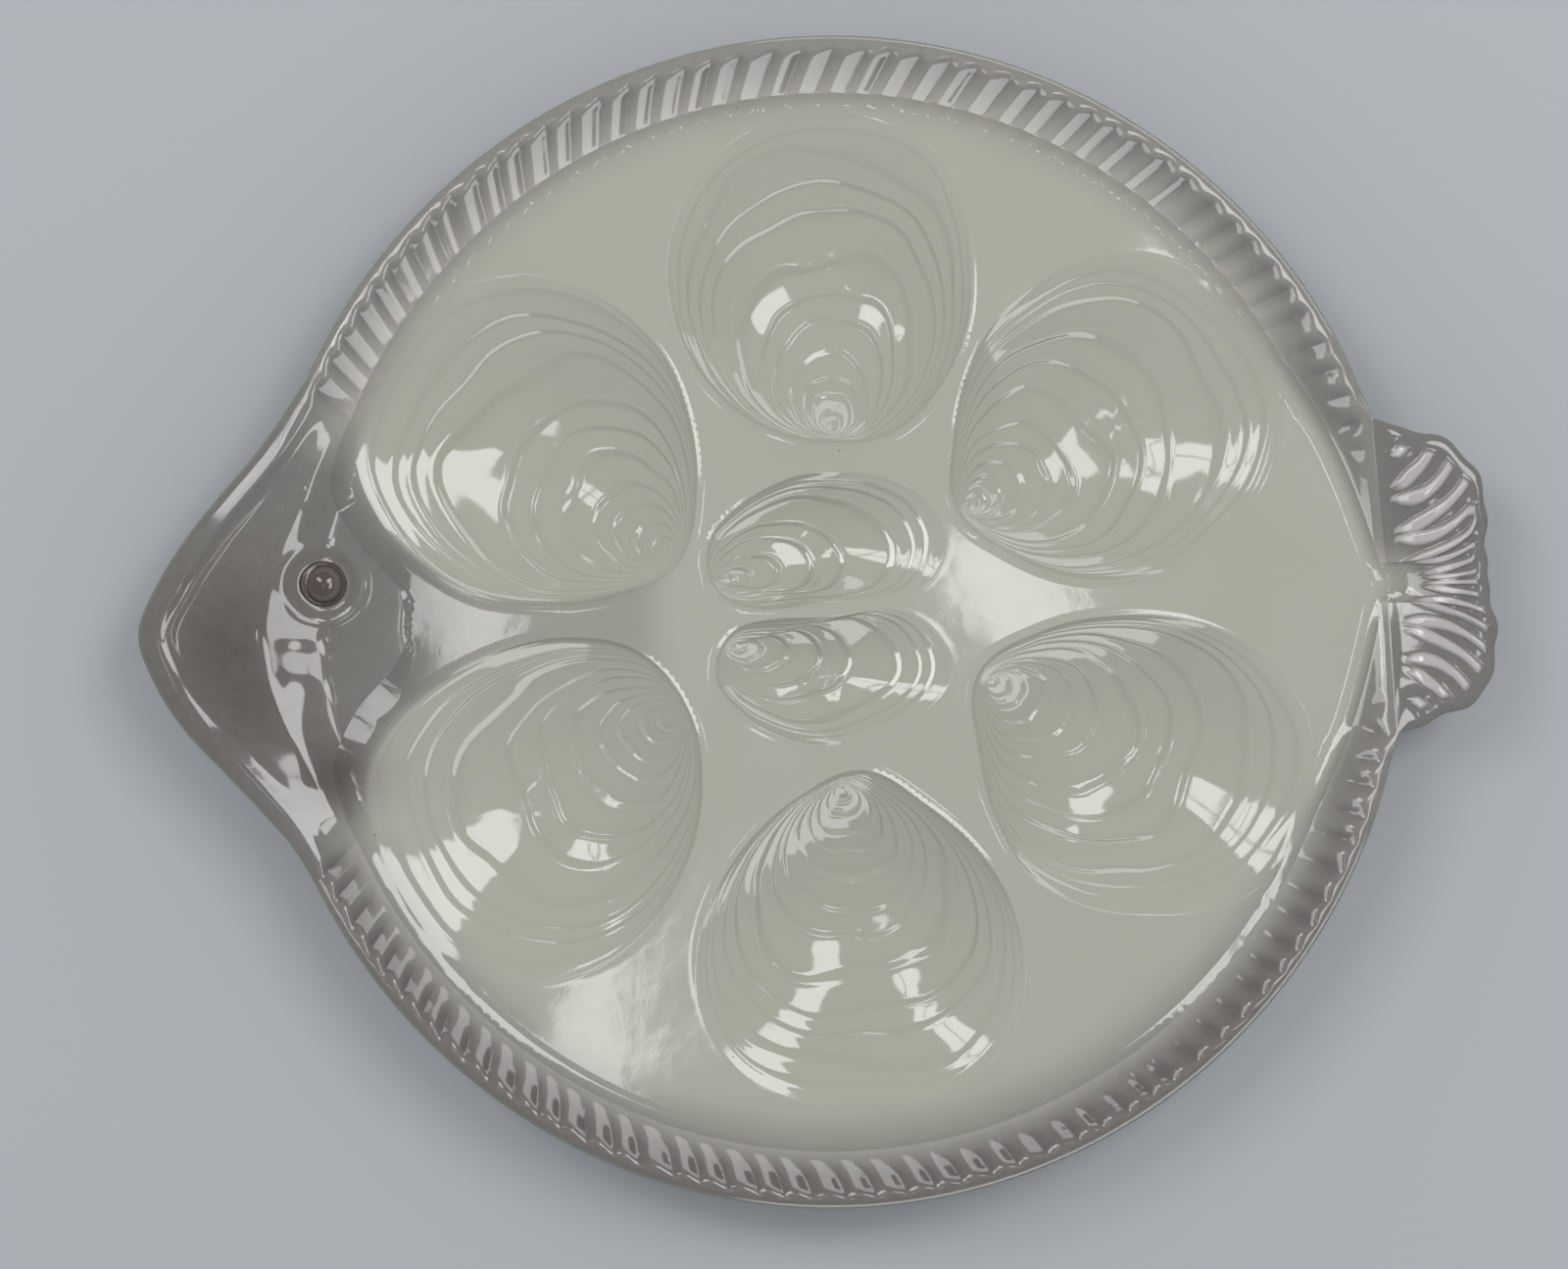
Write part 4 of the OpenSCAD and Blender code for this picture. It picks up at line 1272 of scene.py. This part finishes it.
# Lights: name, direction round the plate, tilt from straight above, distance, width and height in
# metres, and radiance
WINDOW = ("right_window", 38, 26, 1.2, (0.34, 0.50), 7)
# One pane of a window of four, and how far its middle lies from the window's, across and up
PANE = ("left_pane", 142, 31, 1.2, (0.12, 0.23), 7.4)
PANE_ACROSS, PANE_UP = 0.067, 0.125
# Cards, with the nodes whose glaze mirrors them; panes without any are mirrored by all
FINS, HOLLOWS = ("upper_fin_rim", "lower_fin_rim"), (*WELLS, *DIPS)
CARDS = (
    ("low_card", -60, 75, 1.5, (2.3, 0.70), 3.9, (*FINS, *HOLLOWS)),
    ("high_card", 62, 79, 1.5, (2.1, 0.56), 3.0, (*FINS, *HOLLOWS)),
    ("dip_card", 176, 66, 1.4, (1.8, 0.62), 9, (*DIPS,)),
    ("tail_pane", 10, 5.9, 1.3, (0.07, 0.056), 7, ()),
    ("head_pane", 178, 8, 1.3, (0.07, 0.05), 6, ()),
    ("low_pane", 244, 10.5, 1.3, (0.05, 0.17), 6, ()),
    ("left_card", 182, 40, 1.4, (1.0, 0.75), 3.8, (*FINS, "tail_fin")),
    ("right_card", -14, 28, 1.3, (0.62, 0.30), 6, (*FINS, "head", "eye")),
)
# The photograph's width and the plate's offset from its middle, in pixels; its scale on the
# field, in pixels to the metre; and the camera's height in metres and sensor width in mm
PHOTO_W, OFFSET_X, OFFSET_Y = 1600, 48, 12.5
PIXELS_PER_METRE = 4950.0
CAMERA_H, SENSOR_W = 0.78, 36


def window_light(name, turn, tilt, distance, size, radiance, target, across=0, up=0):
    """A rectangular soft light of even radiance that faces the plate like a window."""
    data = bpy.data.lights.new(name, "AREA")
    data.shape = "RECTANGLE"
    data.size, data.size_y = size
    data.energy = radiance * math.pi * size[0] * size[1]
    lamp = bpy.data.objects.new(name, data)
    bpy.context.scene.collection.objects.link(lamp)
    t, e = math.radians(turn), math.radians(tilt)
    way = Vector((math.cos(t) * math.sin(e), math.sin(t) * math.sin(e), math.cos(e)))
    turned = way.to_track_quat("Z", "Y")
    lamp.location = target + way * distance + turned @ Vector((across, up, 0))
    lamp.rotation_euler = turned.to_euler()
    return lamp


def mirrored_card(name, turn, tilt, distance, size, radiance, nodes, target):
    """A light seen only mirrored, in the glaze of the named pieces, or of all if none is named."""
    lamp = window_light(name, turn, tilt, distance, size, radiance, target)
    lamp.visible_diffuse = False
    if not nodes:
        return
    pieces = bpy.data.collections.new(name + "_pieces")
    for node in nodes:
        pieces.objects.link(bpy.data.objects[node + "_glazed"])
    lamp.light_linking.receiver_collection = pieces


class PLATE_OT_stage(PlateOperator, bpy.types.Operator):
    """Floor, window-like lights and the camera over the plate"""
    bl_idname = "plate.stage"
    bl_label = "Stage"

    def execute(self, context):
        plan = current_plan(context)
        scene = context.scene
        scene.view_settings.view_transform = "Standard"
        bpy.ops.mesh.primitive_plane_add(size=40)
        floor = context.active_object
        floor.name = "floor"
        material = bpy.data.materials.new("floor")
        material.use_nodes = True
        shader = material.node_tree.nodes["Principled BSDF"]
        shader.inputs["Base Color"].default_value = (*scene.plate_colours.floor, 1)
        shader.inputs["Roughness"].default_value = 0.85
        floor.data.materials.append(material)
        centre = Vector((plan.centre_x * MM, 0, 0.02))
        window_light(*WINDOW, centre)
        for across in (-PANE_ACROSS, PANE_ACROSS):
            for up in (-PANE_UP, PANE_UP):
                window_light(*PANE, centre, across, up)
        for card in CARDS:
            mirrored_card(*card, centre)
        world = bpy.data.worlds.new("soft_room")
        scene.world = world
        world.use_nodes = True
        back = world.node_tree.nodes["Background"]
        back.inputs["Color"].default_value = (0.93, 0.96, 1.0, 1)
        back.inputs["Strength"].default_value = 0.65
        camera = bpy.data.cameras.new("camera")
        camera.sensor_width = SENSOR_W
        camera.lens = SENSOR_W * (CAMERA_H - plan.top * MM) / (PHOTO_W / PIXELS_PER_METRE)
        camera.clip_start = 0.05
        looker = bpy.data.objects.new("camera", camera)
        scene.collection.objects.link(looker)
        looker.location = (
            plan.centre_x * MM - OFFSET_X / PIXELS_PER_METRE,
            -OFFSET_Y / PIXELS_PER_METRE,
            CAMERA_H,
        )
        scene.camera = looker
        return {"FINISHED"}


STEPS = ("wells", "dips", "field", "fin_rims", "head", "eye", "tail", "foot", "joints", "stage")


class PLATE_PT_panel(bpy.types.Panel):
    """Sizes, colours and building steps of the plate"""
    bl_idname = "PLATE_PT_panel"
    bl_label = "Oyster Plate"
    bl_space_type = "VIEW_3D"
    bl_region_type = "UI"
    bl_category = "Oyster Plate"

    def draw(self, context):
        for group in (context.scene.plate_sizes, context.scene.plate_colours):
            box = self.layout.box()
            for name in type(group).__annotations__:
                box.prop(group, name)
        for step in STEPS:
            self.layout.operator("plate." + step)


CLASSES = (
    PlateSizes, PlateColours, PLATE_OT_wells, PLATE_OT_dips, PLATE_OT_field, PLATE_OT_fin_rims,
    PLATE_OT_head, PLATE_OT_eye, PLATE_OT_tail, PLATE_OT_foot, PLATE_OT_joints, PLATE_OT_stage,
    PLATE_PT_panel,
)


def register():
    for made in CLASSES:
        bpy.utils.register_class(made)
    bpy.types.Scene.plate_sizes = PointerProperty(type=PlateSizes)
    bpy.types.Scene.plate_colours = PointerProperty(type=PlateColours)


def unregister():
    del bpy.types.Scene.plate_colours
    del bpy.types.Scene.plate_sizes
    for made in reversed(CLASSES):
        bpy.utils.unregister_class(made)


def main():
    register()
    for step in STEPS:
        getattr(bpy.ops.plate, step)()


if __name__ == "__main__":
    main()
